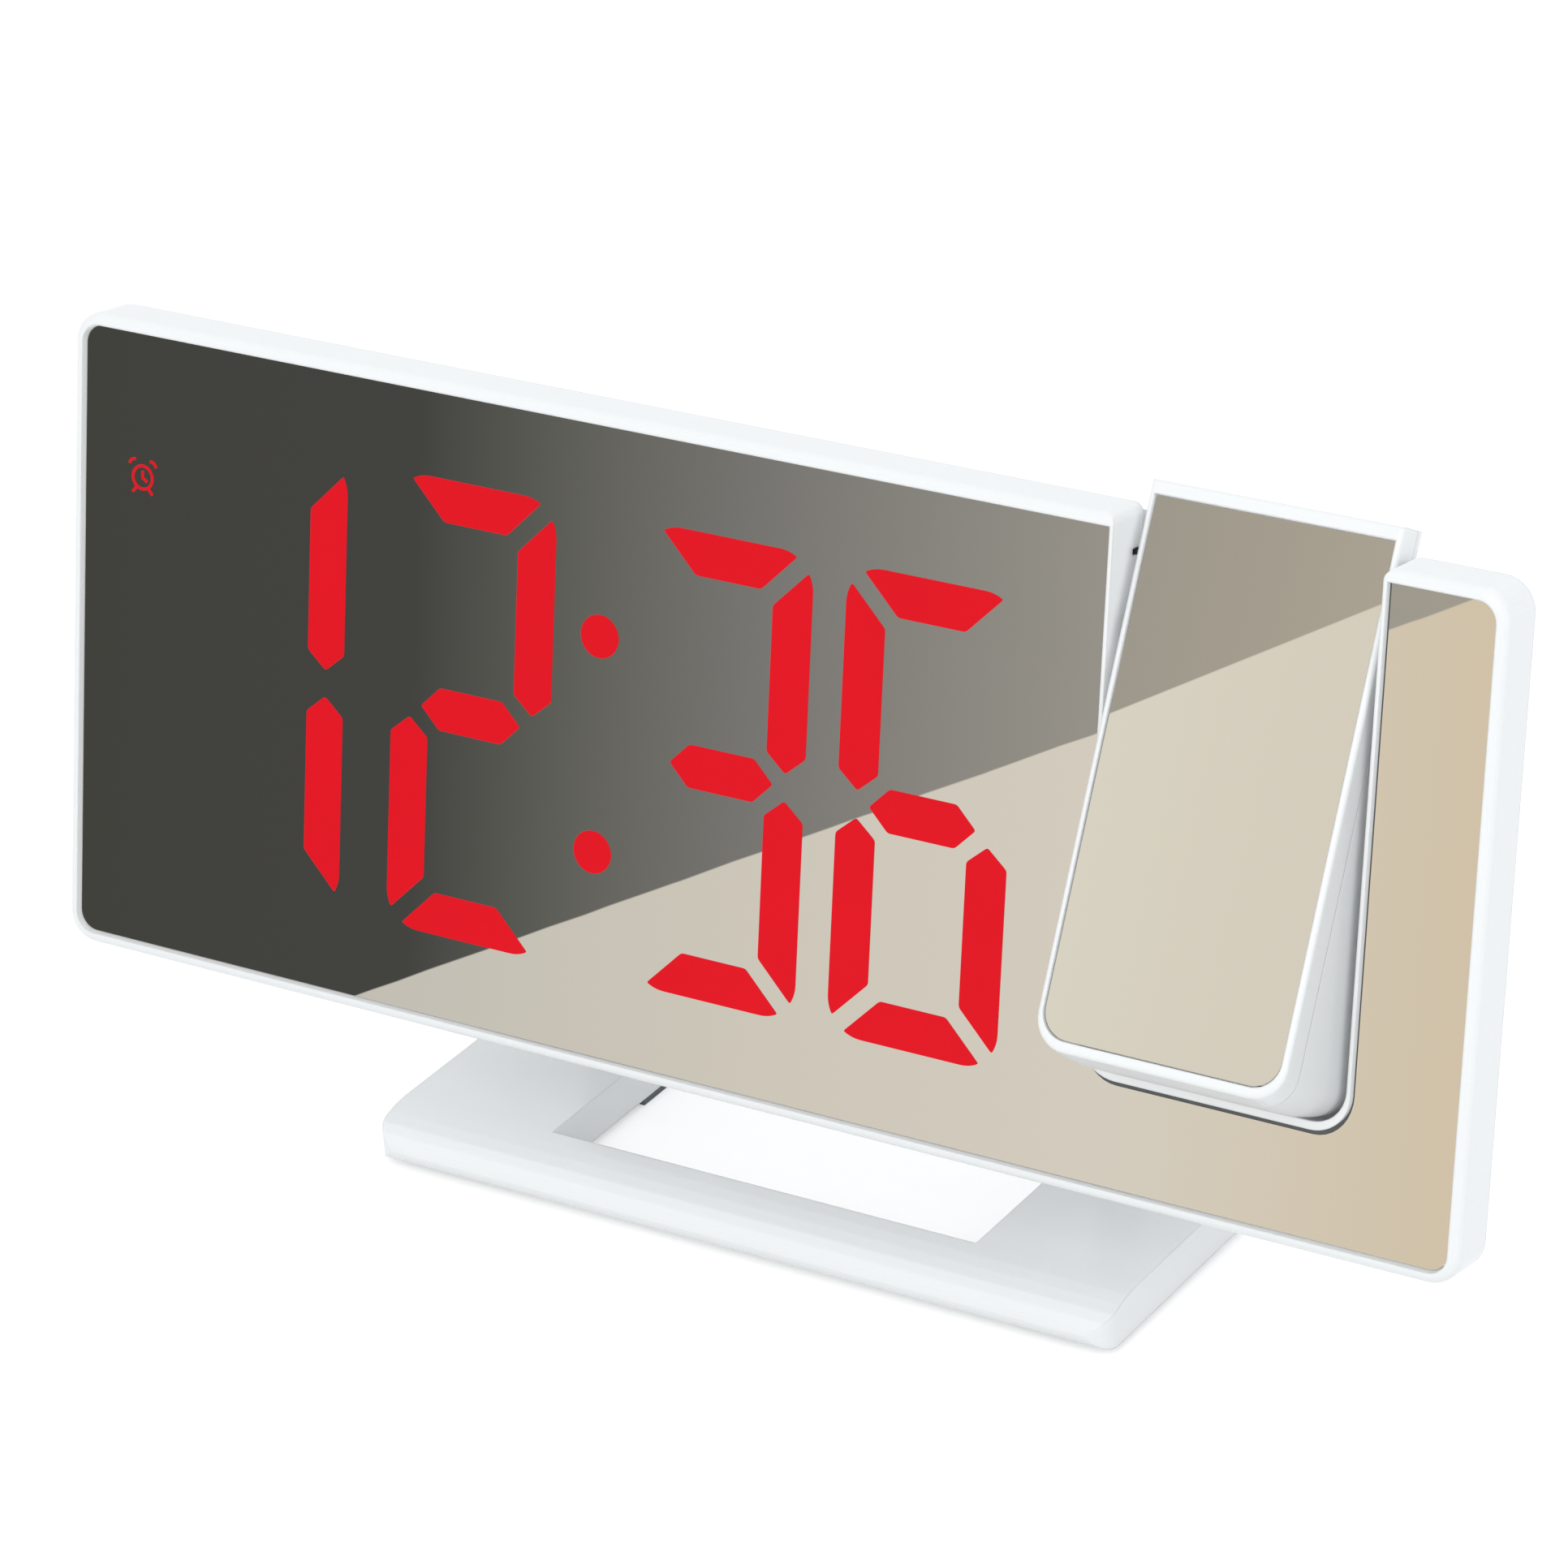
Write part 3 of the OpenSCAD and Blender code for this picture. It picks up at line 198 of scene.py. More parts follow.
# Lit display: the segments of four seven-segment digits, the colon and the alarm
# sign shine through the mirror's film. Each is a red window the shape of the
# light well behind it, with mitred ends and slightly rounded corners.
face_middle_y, face_middle_z = -0.0220108, 0.0602  # metres, and millimetres from here on
face_lean = np.radians(10.2)
most_of_side = 0.45
digit_middles = [-66.3, -36.9, -2.2, 24.6]
shown_digits = [(3, 5), (0, 3, 2, 6, 1), (0, 3, 2, 5, 1), (0, 4, 2, 6, 5, 1)]
digit_height, digit_width, stroke = 56.0, 22.4, 5.2
mitre_gap = 2.3 / np.sqrt(2)
corner_round, segment_corner = 4.6, 0.35
shoulder_drop = 0.4
dot_radius, dot_x, dot_rise = 2.6, -19.3, 13.1
window_front, window_back = -0.07, 0.03
ease_deep, ease_wide = 0.02, 0.05


def from_face(points):
    """Points (x, depth, height) in millimetres on the face, as places in metres.

    Depth and height are turned by the lean and set off from the face's middle."""
    x, depth, up = np.moveaxis(np.asarray(points, float) / 1000, -1, 0)
    y = face_middle_y + depth * np.cos(face_lean) + up * np.sin(face_lean)
    z = face_middle_z + up * np.cos(face_lean) - depth * np.sin(face_lean)
    return np.stack([x, y, z], axis=-1)


def rounded(outline, radius, steps=4):
    """Each corner of a closed outline swapped for a quadratic curve.

    It starts and ends a radius away, or just short of the middle of a short side."""
    p = np.asarray(outline, float)
    before, after = np.roll(p, 1, axis=0) - p, np.roll(p, -1, axis=0) - p
    start = p + before * np.minimum(
        radius / np.linalg.norm(before, axis=1, keepdims=True), most_of_side)
    end = p + after * np.minimum(
        radius / np.linalg.norm(after, axis=1, keepdims=True), most_of_side)
    t = np.linspace(0, 1, steps)[None, :, None]
    curve = (1 - t) ** 2 * start[:, None] + 2 * t * (1 - t) * p[:, None] + t ** 2 * end[:, None]
    return curve.reshape(-1, 2)


def ring_of(radius, count=32):
    """A circle's points: radius times cosine and sine, anticlockwise."""
    a = np.linspace(0, 2 * np.pi, count, endpoint=False)
    return radius * np.stack([np.cos(a), np.sin(a)], axis=-1)


def carried(outline, depths, insets):
    """A closed outline carried along depth, as an array (depth, point, 3).

    At each depth it is drawn in towards its middle by an inset."""
    middle = outline.mean(axis=0)
    reach = np.linalg.norm(outline - middle, axis=1, keepdims=True)
    layers = [middle + (outline - middle) * (1 - inset / reach) for inset in insets]
    return np.stack([np.insert(layer, 1, depth, axis=1) for layer, depth in zip(layers, depths)])


def loft(name, stacks, material, body):
    """One mesh from stacks of rings on the face, which rides on a body.

    Quads join each ring to the next, and the first and last rings are filled."""
    points, faces, count = [], [], 0
    for stack in stacks:
        m, n = stack.shape[:2]
        i, j = np.meshgrid(np.arange(m - 1), np.arange(n), indexing="ij")
        a, b = i * n + j, i * n + (j + 1) % n
        quads = np.stack([a, b, b + n, a + n], axis=-1).reshape(-1, 4) + count
        faces += quads.tolist()
        faces += [list(range(count, count + n)), list(range(count + (m - 1) * n, count + m * n))]
        points.append(from_face(stack).reshape(-1, 3))
        count += m * n
    mesh = bpy.data.meshes.new(name)
    mesh.from_pydata(np.concatenate(points).tolist(), [], faces)
    shape = bmesh.new()
    shape.from_mesh(mesh)
    bmesh.ops.recalc_face_normals(shape, faces=shape.faces)
    shape.to_mesh(mesh)
    shape.free()
    mesh.polygons.foreach_set("use_smooth", np.full(len(mesh.polygons), False))
    mesh.materials.append(material)
    piece = bpy.data.objects.new(name, mesh)
    bpy.context.scene.collection.objects.link(piece)
    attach(piece, body)


def window(outline):
    """A thin inlay in the film with a closed outline, its front edge eased."""
    return carried(outline, [window_back, window_front + ease_deep, window_front],
                   [0, 0, ease_wide])


def lit_window(name, colour, strength):
    """A red window that gives its own light, a little weaker where a wide noise is low."""
    material, tree, shader, place = new_material(name)
    shader.inputs["Base Color"].default_value = (0.08, 0.002, 0.003, 1.0)
    shader.inputs["Roughness"].default_value = 0.35
    shader.inputs["Specular IOR Level"].default_value = 0.06
    glow = spread(tree, noise(tree, place, scale=90.0), low=0.96 * strength, high=strength)
    shader.inputs["Emission Color"].default_value = (*colour, 1.0)
    wire(tree, ((glow, "Result"), (shader, "Emission Strength")))
    return material


digit_red = lit_window("digit_red", (0.70, 0.0045, 0.0135), 1.0)

half_w, half_h, cut = digit_width / 2, digit_height / 2, mitre_gap
shoulder = cut + stroke / 2 - shoulder_drop
tip_turn = np.pi / 4 - np.arcsin(cut / (corner_round * np.sqrt(2)))
turn = np.linspace(0, tip_turn, 6)[:, None]
bar_end = ([half_w - corner_round, half_h - corner_round]
           + corner_round * np.hstack([np.sin(turn), np.cos(turn)]))
side_end = ([half_w - corner_round, half_h - corner_round]
            + corner_round * np.hstack([np.cos(turn), np.sin(turn)]))
upright = np.vstack([
    side_end, [[half_w - stroke, half_h - cut - stroke], [half_w - stroke, shoulder],
               [half_w - stroke / 2, cut], [half_w, shoulder]]])
top_bar = np.vstack([
    bar_end, [[half_w - cut - stroke, half_h - stroke], [-half_w + cut + stroke, half_h - stroke]],
    bar_end[::-1] * [-1, 1]])
middle_bar = np.array([
    [-half_w + stroke / 2 + cut, 0], [-half_w + stroke + cut, stroke / 2],
    [half_w - stroke - cut, stroke / 2], [half_w - stroke / 2 - cut, 0],
    [half_w - stroke - cut, -stroke / 2], [-half_w + stroke + cut, -stroke / 2]])
segments = [top_bar, top_bar * [1, -1], middle_bar, upright, upright * [-1, 1],
            upright * [1, -1], upright * [-1, -1]]
for place_in_row, (middle, lit) in enumerate(zip(digit_middles, shown_digits)):
    loft(f"digit_{place_in_row + 1}",
         [window(rounded(segments[i], segment_corner) + [middle, 0]) for i in lit],
         digit_red, "case")
loft("colon_dots", [window(ring_of(dot_radius) + [dot_x, side * dot_rise]) for side in (-1, 1)],
     digit_red, "case")


# Alarm sign: a little bell clock at the upper left of the display, printed as a
# window in the film like the digits: a round case, two bells, two feet and hands.
sign_middle = np.array([-85.0, 20.5])
sign_scale = 0.82
sign_stroke = 0.42 * sign_scale


def stroke_along(path, width):
    """A flat stroke: the path moved half a width to either side, as one closed outline."""
    p = np.asarray(path, float)
    along = np.gradient(p, axis=0)
    side = np.stack([-along[:, 1], along[:, 0]], axis=-1)
    side *= width / 2 / np.linalg.norm(side, axis=1, keepdims=True)
    return np.concatenate([p + side, (p - side)[::-1]])


def arc(radius, start, end, count=14, middle=(0, 0)):
    """Points of an arc: radius times cosine and sine about a middle, start to end in degrees."""
    a = np.radians(np.linspace(start, end, count))
    return np.stack([radius * np.cos(a), radius * np.sin(a)], axis=-1) + np.asarray(middle)


def flat_sign(paths, width, middle, front, back):
    """Strokes along paths as thin inlays at a middle."""
    return [np.stack([np.insert(stroke_along(path, width) + middle, 1, depth, axis=1)
                      for depth in (back, front)]) for path in paths]


bell_paths = [
    arc(1.75, -90, 90), arc(1.75, 90, 270),
    arc(0.95, 10, 100, 8, (1.45, 1.65)), arc(0.95, 80, 170, 8, (-1.45, 1.65)),
    [(1.1, -1.6), (1.45, -2.0), (1.8, -2.4)], [(-1.1, -1.6), (-1.45, -2.0), (-1.8, -2.4)],
    [(0, 1.0), (0, 0.5), (0, 0)], [(-0.1, 0), (0.4, -0.3), (0.8, -0.55)],
]
loft("alarm_sign", flat_sign([sign_scale * np.array(path) for path in bell_paths],
                             sign_stroke, sign_middle, window_front, window_back),
     digit_red, "case")


# Painted shadow: a thin dark strip on the mirror round the pocket, beside the white lip,
# stands in for the lip's shadow and the narrow gap at the mirror's cut edge. It is widest below,
# where the lip hangs over.
lip_shadow_paint = moulding("lip_shadow_paint", (0.055, 0.06, 0.065), (0.075, 0.08, 0.085), (0.30, 0.38))
lip_shadow_back, lip_shadow_front = 0.05, -0.02
lip_overlap, lip_shadow_aside, lip_shadow_below = -0.05, 0.14, 0.75


def round_pocket(aside, below):
    """The pocket's lip from its left top round to its right top, moved out.

    The move aside grows evenly from the middle to each side, and the move below runs
    from nothing where the corners begin to its whole at the bottom."""
    left, right, low, high, bend = 46.7, 80.6, -25.15, 38.2, 4.7
    curve = np.vstack([
        arc(bend, 180, 270, 10, (left + bend, low + bend)),
        arc(bend, 270, 360, 10, (right - bend, low + bend))])
    path = np.vstack([[[left, high]], [[left, low + bend]], curve, [[right, low + bend]],
                      [[right, high]]])
    middle = np.array([(left + right) / 2, low + bend])
    out = path - middle
    path[:, 0] += aside * np.clip(out[:, 0] / ((right - left) / 2), -1, 1)
    path[:, 1] -= below * np.clip(-out[:, 1] / bend, 0, 1)
    return path


lip_shadow_outline = np.vstack([round_pocket(lip_overlap, lip_overlap),
                          round_pocket(lip_shadow_aside, lip_shadow_below)[::-1]])
loft("pocket_lip_shadow", [carried(lip_shadow_outline, [lip_shadow_back, lip_shadow_front], [0, 0])],
     lip_shadow_paint, "case")


# Inside the case: the white reflector block with its red diffusers and diodes,
# the circuit board behind it, the buzzer, switches, inlet, cells and contacts.
# The mouldings are plain plastics, and the contacts and screws plated steel.
streak_waves, streak_depth = 900.0, 0.00003
band_starts, band_ends = 0.0118, 0.0122

reflector_white = moulding("reflector_white", (0.84, 0.84, 0.83), (0.80, 0.80, 0.79), (0.6, 0.75))
finish(reflector_white, "segment_reflector")
diffuser_red = moulding("diffuser_red", (0.62, 0.03, 0.03), (0.55, 0.02, 0.02), (0.35, 0.5))
finish(diffuser_red, "segment_diffusers")
diode_amber = moulding("diode_amber", (0.75, 0.68, 0.42), (0.70, 0.62, 0.36), (0.29, 0.4))
finish(diode_amber, "segment_leds")
board_green = moulding("board_green", (0.02, 0.13, 0.055), (0.03, 0.17, 0.075), (0.29, 0.42),
                       grain=900.0, strength=0.3)
finish(board_green, "display_board", "projector_led_board")
black_abs = moulding("black_abs", (0.018, 0.018, 0.02), (0.026, 0.026, 0.029), (0.45, 0.6))
finish(black_abs, "buzzer", "tact_switches", "light_box", "lens_carrier", "focus_ring")


def metal(name, colour, rough, stretch):
    """Drawn or rolled metal: fine streaks of roughness and bump along one axis."""
    material, tree, shader, place = new_material(name)
    shader.inputs["Metallic"].default_value = 1.0
    shader.inputs["Base Color"].default_value = (*colour, 1.0)
    mapping = tree.nodes.new("ShaderNodeMapping")
    mapping.inputs["Scale"].default_value = stretch
    wire(tree, ((place, "Object"), (mapping, "Vector")))
    streaks = noise(tree, mapping, streak_waves, detail=3.0, output="Vector")
    sheen = spread(tree, streaks, *rough)
    bump = tree.nodes.new("ShaderNodeBump")
    bump.inputs["Strength"].default_value = 0.15
    bump.inputs["Distance"].default_value = streak_depth
    wire(tree, ((sheen, "Result"), (shader, "Roughness")),
         ((streaks, "Fac"), (bump, "Height")), ((bump, "Normal"), (shader, "Normal")))
    return material


plated_steel = metal("plated_steel", (0.62, 0.62, 0.61), (0.28, 0.40), (0.15, 1.0, 1.0))
finish(plated_steel, "case_screws", "arm_screws", "arm_hinge_pins", "stand_hinge_pins",
       "battery_contacts", "usb_inlet")
nylon = moulding("nylon", (0.62, 0.62, 0.60), (0.56, 0.56, 0.54), (0.45, 0.6))
finish(nylon, "arm_hinge_washers", "stand_hinge_washers")


def cell_sleeve(name):
    """A cell's printed sleeve: slate, with a copper band at one end, by place across."""
    material, tree, shader, place = new_material(name)
    split = tree.nodes.new("ShaderNodeSeparateXYZ")
    band = tree.nodes.new("ShaderNodeMapRange")
    band.inputs["From Min"].default_value = band_starts
    band.inputs["From Max"].default_value = band_ends
    tint = tinted(tree, band, (0.05, 0.065, 0.08), (0.55, 0.27, 0.13))
    wire(tree, ((place, "Object"), (split, "Vector")), ((split, "X"), (band, "Value")),
         ((tint, "Result"), (shader, "Base Color")))
    shader.inputs["Metallic"].default_value = 0.55
    sheen = spread(tree, noise(tree, place, scale=300.0), low=0.28, high=0.38)
    wire(tree, ((sheen, "Result"), (shader, "Roughness")))
    return material


finish(cell_sleeve("cell_sleeve"), "battery_cells")


# Optics of the projector: a condenser and a projection lens in clear acrylic,
# and the dark display slide between them that carries the time to the ceiling.
def clear_acrylic(name, colour, rough):
    """Clear plastic: light passes with little haze, bent as by acrylic."""
    material, tree, shader, place = new_material(name)
    shader.inputs["Base Color"].default_value = (*colour, 1.0)
    shader.inputs["Transmission Weight"].default_value = 1.0
    shader.inputs["IOR"].default_value = 1.49
    haze = spread(tree, noise(tree, place, scale=400.0), low=rough, high=rough + 0.03)
    wire(tree, ((haze, "Result"), (shader, "Roughness")))
    return material


lens_acrylic = clear_acrylic("lens_acrylic", (0.93, 0.97, 1.0), 0.01)
finish(lens_acrylic, "condenser_lens", "projection_lens")
slide_glass = moulding("slide_glass", (0.03, 0.033, 0.04), (0.045, 0.05, 0.06), (0.08, 0.16))
finish(slide_glass, "time_slide")


# Rubber feet: four thin slate-grey pads glued under the ring, matt and slightly
# pitted, which keep it from sliding.
foot_rubber = moulding("foot_rubber", (0.16, 0.175, 0.19), (0.12, 0.13, 0.145), (0.75, 0.9),
                       grain=1800.0, strength=0.5)
finish(foot_rubber, "stand_feet")


# Slot shade: the tip of a thin dark leaf in a slot near the top of the pocket's left
# wall, a dark piece that paints the slot's shade. It lies in the 1 mm gap beside the arm.
slot_shade_metal = metal("slot_shade_metal", (0.09, 0.095, 0.10), (0.30, 0.42), (1.0, 0.15, 1.0))
leaf_left, leaf_right, leaf_low, leaf_high, leaf_corner = 46.3, 47.7, 34.25, 34.75, 0.15
leaf_depths, leaf_insets = [5.45, 4.25, 4.15], [0, 0, 0.05]
leaf_outline = [[leaf_left, leaf_low], [leaf_right, leaf_low],
                [leaf_right, leaf_high], [leaf_left, leaf_high]]
loft("slot_shade_leaf", [carried(rounded(leaf_outline, leaf_corner), leaf_depths, leaf_insets)],
     slot_shade_metal, "case")


# Push buttons on the back: six plain caps in a slightly greyer plastic, with a
# printed sign under each: a dial, up and down arrows, a bell, a lamp and a beam.
button_grey = moulding("button_grey", (0.66, 0.67, 0.68), (0.62, 0.63, 0.645), (0.35, 0.48))
finish(button_grey, "button_set", "button_up", "button_down", "button_alarm",
       "button_light", "button_projector")
sign_grey = moulding("sign_grey", (0.28, 0.29, 0.3), (0.24, 0.25, 0.26), (0.5, 0.62))
cover_back, print_deep, print_proud, print_stroke = 21.0, 0.03, 0.06, 0.4
button_first = np.array([-73.0, 5.0])
button_pitch = 11.0
sign_drop = np.array([0.0, -5.0])
ray_reach = np.array([1.25, 1.5, 1.75])
rays = list(ring_of(1.0, 8)[:, None] * ray_reach[:, None])
button_signs = {
    "set": [arc(1.1, -90, 90), arc(1.1, 90, 270), [(0, 0.7), (0, 0.3), (0, 0)]],
    "up": [[(-1.2, -0.6), (-0.6, 0.1), (0, 0.8)], [(1.2, -0.6), (0.6, 0.1), (0, 0.8)]],
    "down": [[(-1.2, 0.6), (-0.6, -0.1), (0, -0.8)], [(1.2, 0.6), (0.6, -0.1), (0, -0.8)]],
    "alarm": [arc(0.9, 0, 180), [(-0.9, 0), (-1.0, -0.5), (-1.4, -0.9)],
              [(0.9, 0), (1.0, -0.5), (1.4, -0.9)], [(-1.4, -0.9), (0, -0.9), (1.4, -0.9)]],
    "light": [arc(0.75, -90, 90), arc(0.75, 90, 270)] + rays,
    "projector": [[(-0.5, -1.0), (0, -1.0), (0.5, -1.0)], [(-0.6, -0.6), (-1.0, 0.3), (-1.4, 1.2)],
                  [(0.6, -0.6), (1.0, 0.3), (1.4, 1.2)], [(0, -0.5), (0, 0.3), (0, 1.1)]],
}
for step, (use, paths) in enumerate(button_signs.items()):
    middle = button_first + button_pitch * np.array([step % 3, step // 3]) + sign_drop
    loft(f"sign_{use}", flat_sign(paths, print_stroke, middle, cover_back + print_proud,
                                  cover_back - print_deep), sign_grey, "case")


# Studio: a plain white floor and sky, which the camera, gloss and glass see as
# white, with one large soft lamp above and in front and two weaker ones. The sky
# lights the object evenly, and the floor keeps its shadow.
scene = bpy.context.scene
scene.view_settings.view_transform = "Standard"


def seen_plainly(tree):
    """1 for camera, glossy and transmission rays and 0 for the rays that light things."""
    path = tree.nodes.new("ShaderNodeLightPath")
    either = path.outputs["Is Camera Ray"]
    for name in ("Is Glossy Ray", "Is Transmission Ray"):
        larger = tree.nodes.new("ShaderNodeMath")
        larger.operation = "MAXIMUM"
        tree.links.new(either, larger.inputs[0])
        tree.links.new(path.outputs[name], larger.inputs[1])
        either = larger.outputs[0]
    return either


world = bpy.data.worlds.new("studio")
scene.world = world
world.use_nodes = True
sky = world.node_tree
lit_sky = sky.nodes["Background"]
lit_sky.inputs["Color"].default_value = (0.94, 0.972, 0.985, 1.0)
lit_sky.inputs["Strength"].default_value = 0.9
white_sky = sky.nodes.new("ShaderNodeBackground")
white_sky.inputs["Color"].default_value = (1.0, 1.0, 1.0, 1.0)
sky_mix = sky.nodes.new("ShaderNodeMixShader")
sky.links.new(seen_plainly(sky), sky_mix.inputs["Fac"])
sky.links.new(lit_sky.outputs[0], sky_mix.inputs[1])
sky.links.new(white_sky.outputs[0], sky_mix.inputs[2])
sky.links.new(sky_mix.outputs[0], sky.nodes["World Output"].inputs["Surface"])

floor_half, floor_lift = 4.0, 0.42
floor_mesh = bpy.data.meshes.new("floor")
floor_mesh.from_pydata([(x * floor_half, y * floor_half, 0)
                        for x, y in ((-1, -1), (1, -1), (1, 1), (-1, 1))], [], [(0, 1, 2, 3)])
floor = bpy.data.objects.new("floor", floor_mesh)
scene.collection.objects.link(floor)
floor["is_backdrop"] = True
floor_paint, tree, shader, _ = new_material("floor_paint")
shader.inputs["Base Color"].default_value = (0.8, 0.8, 0.8, 1.0)
shader.inputs["Roughness"].default_value = 0.9
shader.inputs["Specular IOR Level"].default_value = 0.0
lift = tree.nodes.new("ShaderNodeEmission")
lift.inputs["Color"].default_value = (1.0, 1.0, 1.0, 1.0)
seen = tree.nodes.new("ShaderNodeMath")
seen.operation = "MULTIPLY"
seen.inputs[1].default_value = floor_lift
tree.links.new(seen_plainly(tree), seen.inputs[0])
tree.links.new(seen.outputs[0], lift.inputs["Strength"])
both = tree.nodes.new("ShaderNodeAddShader")
tree.links.new(shader.outputs[0], both.inputs[0])
tree.links.new(lift.outputs[0], both.inputs[1])
tree.links.new(both.outputs[0], tree.nodes["Material Output"].inputs["Surface"])
floor_mesh.materials.append(floor_paint)

lamp_aim = np.array([0, 0, 0.05])
for name, spot, size, watts, tint in (
        ("key", (0.2, -1.35, 1.0), 0.9, 5.4, (1.0, 0.99, 0.97)),
        ("side", (1.25, -0.65, 0.6), 0.9, 1.8, (0.97, 0.99, 1.0)),
        ("back", (0.2, 1.2, 1.2), 0.9, 1.2, (1.0, 1.0, 1.0))):
    data = bpy.data.lights.new(name, "AREA")
    data.size, data.energy, data.color = size, watts, tint
    lamp = bpy.data.objects.new(name, data)
    scene.collection.objects.link(lamp)
    toward = lamp_aim - np.array(spot)
    back = -toward / np.linalg.norm(toward)
    right = np.cross([0, 0, 1], back)
    right /= np.linalg.norm(right)
    lamp.matrix_world = Matrix(np.column_stack([
        np.vstack([np.column_stack([right, np.cross(back, right), back]), np.zeros(3)]),
        np.append(spot, 1.0)]).tolist())


# Camera: in front, to the right and above, far off with a long lens. Its place is
# in metres, and its three axes are of length one.
camera_data = bpy.data.cameras.new("camera")
camera_data.sensor_width = 36.0
camera_data.lens = 151.71
camera = bpy.data.objects.new("camera", camera_data)
scene.collection.objects.link(camera)
scene.camera = camera
eye = np.array([0.374189, -0.588256, 0.394961])
eye_right = np.array([0.851060, 0.522552, -0.051337])
eye_up = np.array([-0.193264, 0.402660, 0.894715])
eye_back = np.array([0.488206, -0.751535, 0.443678])
camera.matrix_world = Matrix(np.vstack([
    np.column_stack([eye_right, eye_up, eye_back, eye]), [0, 0, 0, 1]]).tolist())


# Reflection cards: what the two mirrors show from the front. Each is a soft
# painted card out of the camera's view, dark on the left and a warm pale grey
# to the right below a slanting edge, and only gloss sees it.
arm_open = np.radians(19.1)
arm_hinge = np.array([11.8, 23.6])
card_strength, edge_soft = 1.565, 0.1
card_columns, card_rows = 25, 13


def from_arm(points):
    """Points (x, depth, height) in millimetres on the arm when shut, as places with it open.

    Depth and height are turned about the hinge by the angle that the arm stands open."""
    p = np.array(points, float)
    depth, up = p[..., 1] - arm_hinge[0], p[..., 2] - arm_hinge[1]
    p[..., 1] = arm_hinge[0] + depth * np.cos(arm_open) + up * np.sin(arm_open)
    p[..., 2] = arm_hinge[1] + up * np.cos(arm_open) - depth * np.sin(arm_open)
    return from_face(p)


def card_paint(name, edge_start, edge_rise, upper, lower):
    """Two runs of tones from left to right, parted by a straight slanting edge.

    The card's UV counts millimetres over its mirror."""
    material, tree, shader, place = new_material(name)
    tree.nodes.remove(shader)
    split = tree.nodes.new("ShaderNodeSeparateXYZ")
    wire(tree, ((place, "UV"), (split, "Vector")))
    tones = []
    for stops in (upper, lower):
        across = tree.nodes.new("ShaderNodeMapRange")
        across.inputs["From Min"].default_value = stops[0][0]
        across.inputs["From Max"].default_value = stops[-1][0]
        ramp = tree.nodes.new("ShaderNodeValToRGB")
        wire(tree, ((split, "X"), (across, "Value")), ((across, "Result"), (ramp, "Fac")))
        span = stops[-1][0] - stops[0][0]
        for k, (x, colour) in enumerate(stops):
            marks = ramp.color_ramp.elements
            spot = (x - stops[0][0]) / span
            mark = marks[0] if k == 0 else marks[-1] if k == len(stops) - 1 else marks.new(spot)
            mark.position = spot
            mark.color = (*colour, 1.0)
        tones.append(ramp)
    rise = tree.nodes.new("ShaderNodeMath")
    rise.operation = "MULTIPLY_ADD"
    rise.inputs[1].default_value = -edge_rise
    wire(tree, ((split, "X"), (rise, 0)), ((split, "Y"), (rise, 2)))
    step = tree.nodes.new("ShaderNodeMapRange")
    step.inputs["From Min"].default_value = edge_start - edge_soft
    step.inputs["From Max"].default_value = edge_start + edge_soft
    wire(tree, ((rise, 0), (step, "Value")))
    mix = tree.nodes.new("ShaderNodeMix")
    mix.data_type = "RGBA"
    wire(tree, ((step, "Result"), (mix, "Factor")), ((tones[1], "Color"), (mix, mix_first)),
         ((tones[0], "Color"), (mix, mix_second)))
    glow = tree.nodes.new("ShaderNodeEmission")
    glow.inputs["Strength"].default_value = card_strength
    tree.links.new(mix.outputs[2], glow.inputs["Color"])
    tree.links.new(glow.outputs[0], tree.nodes["Material Output"].inputs["Surface"])
    return material


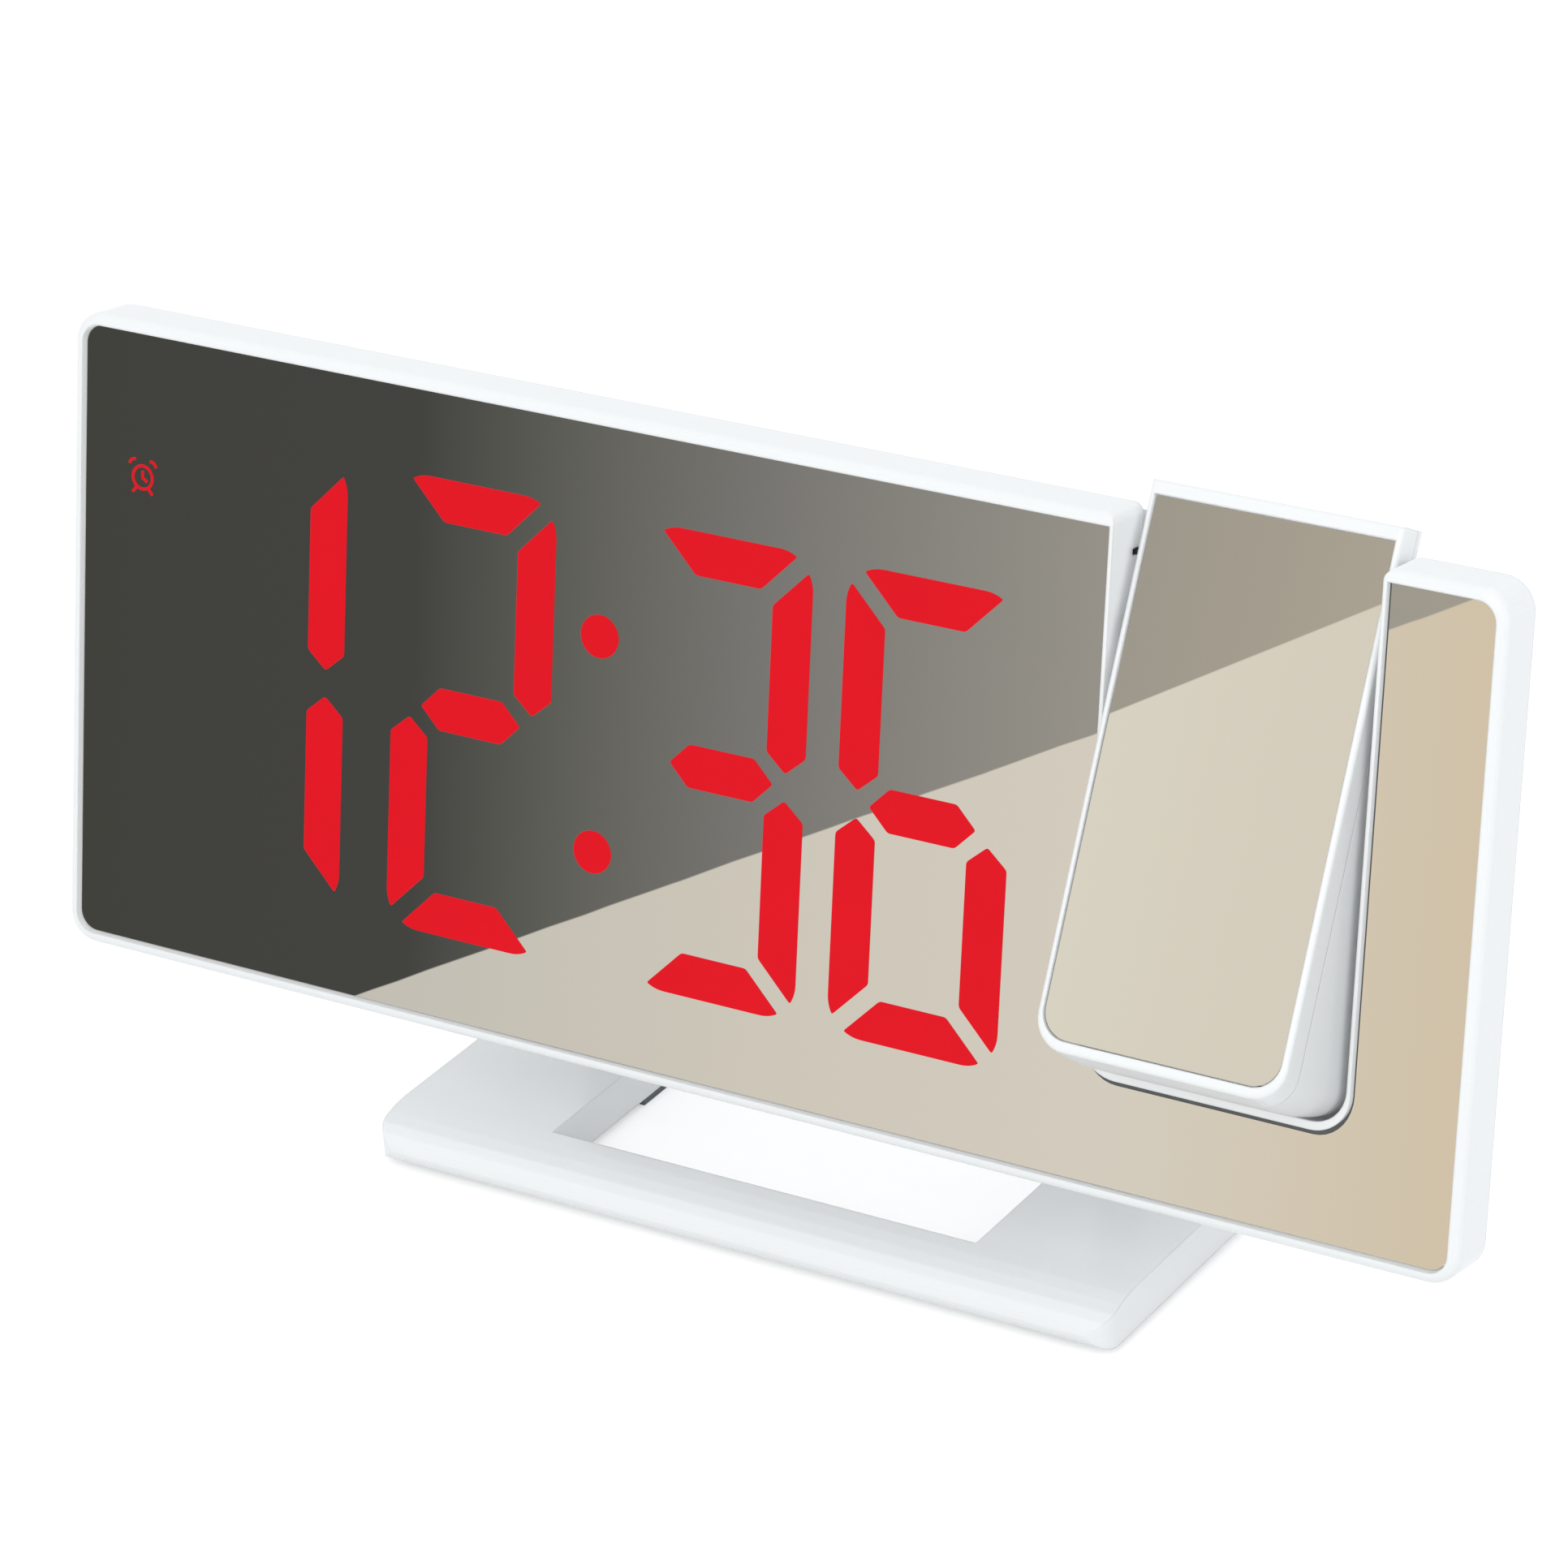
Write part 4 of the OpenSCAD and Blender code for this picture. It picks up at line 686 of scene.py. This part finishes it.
def reflection_card(name, place, x_span, z_span, plane_point, plane_normal, material):
    """A grid over a mirror's face, thrown on a plane.

    Each point is sent along the camera's ray, as the mirror turns it, to the plane."""
    x, z = np.meshgrid(np.linspace(*x_span, card_columns), np.linspace(*z_span, card_rows))
    spots = place(np.stack([x, np.zeros_like(x), z], axis=-1))
    along_x = place([1, 0, 0]) - place([0, 0, 0])
    along_z = place([0, 0, 1]) - place([0, 0, 0])
    normal = np.cross(along_x, along_z)
    normal /= np.linalg.norm(normal)
    rays = spots - eye
    rays -= 2 * (rays @ normal)[..., None] * normal
    reach = ((plane_point - spots) @ plane_normal) / (rays @ plane_normal)
    grid = spots + reach[..., None] * rays
    m, n = x.shape
    i, j = np.meshgrid(np.arange(m - 1), np.arange(n - 1), indexing="ij")
    a = i * n + j
    faces = np.stack([a, a + 1, a + n + 1, a + n], axis=-1).reshape(-1, 4)
    mesh = bpy.data.meshes.new(name)
    mesh.from_pydata(grid.reshape(-1, 3).tolist(), [], faces.tolist())
    corners = np.empty(len(mesh.loops), int)
    mesh.loops.foreach_get("vertex_index", corners)
    uv = np.stack([x, z], axis=-1).reshape(-1, 2)[corners]
    mesh.uv_layers.new(name="face").uv.foreach_set("vector", uv.ravel())
    mesh.materials.append(material)
    card = bpy.data.objects.new(name, mesh)
    scene.collection.objects.link(card)
    card.visible_camera = card.visible_diffuse = card.visible_shadow = False
    card.visible_transmission = False
    card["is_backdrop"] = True


face_card = card_paint(
    "face_card", -10.3, 0.534,
    [(-95, (0.075, 0.076, 0.068)), (-45, (0.079, 0.080, 0.076)), (-25, (0.155, 0.158, 0.142)),
     (5, (0.27, 0.265, 0.255)), (45, (0.42, 0.405, 0.365)), (95, (0.50, 0.47, 0.41))],
    [(-60, (0.74, 0.72, 0.66)), (0, (0.84, 0.80, 0.71)), (50, (0.91, 0.86, 0.76)),
     (95, (0.88, 0.76, 0.57))])
arm_card = card_paint(
    "arm_card", -16.2, 0.605,
    [(45, (0.46, 0.44, 0.38)), (80, (0.56, 0.51, 0.42))],
    [(45, (0.95, 0.92, 0.80)), (80, (0.92, 0.86, 0.74))])
reflection_card("card_low", from_face, (-100, 100), (-42, 42),
                np.array([0, 0, 0.0005]), np.array([0, 0, 1.0]), face_card)
reflection_card("card_high", from_arm, (46, 82), (-27, 42),
                np.array([-0.2, -0.5, 0.3]), np.array([0.5, 0.75, -0.4]), arm_card)

# The mirrors show the cards alone, so the bezel and all on the arm are out of gloss.
arm_bodies = {"arm", "focus_ring", "lens_carrier"}
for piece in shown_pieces():
    if arm_bodies.intersection(body_of(piece)) or piece.name == "front_bezel":
        piece.visible_glossy = False
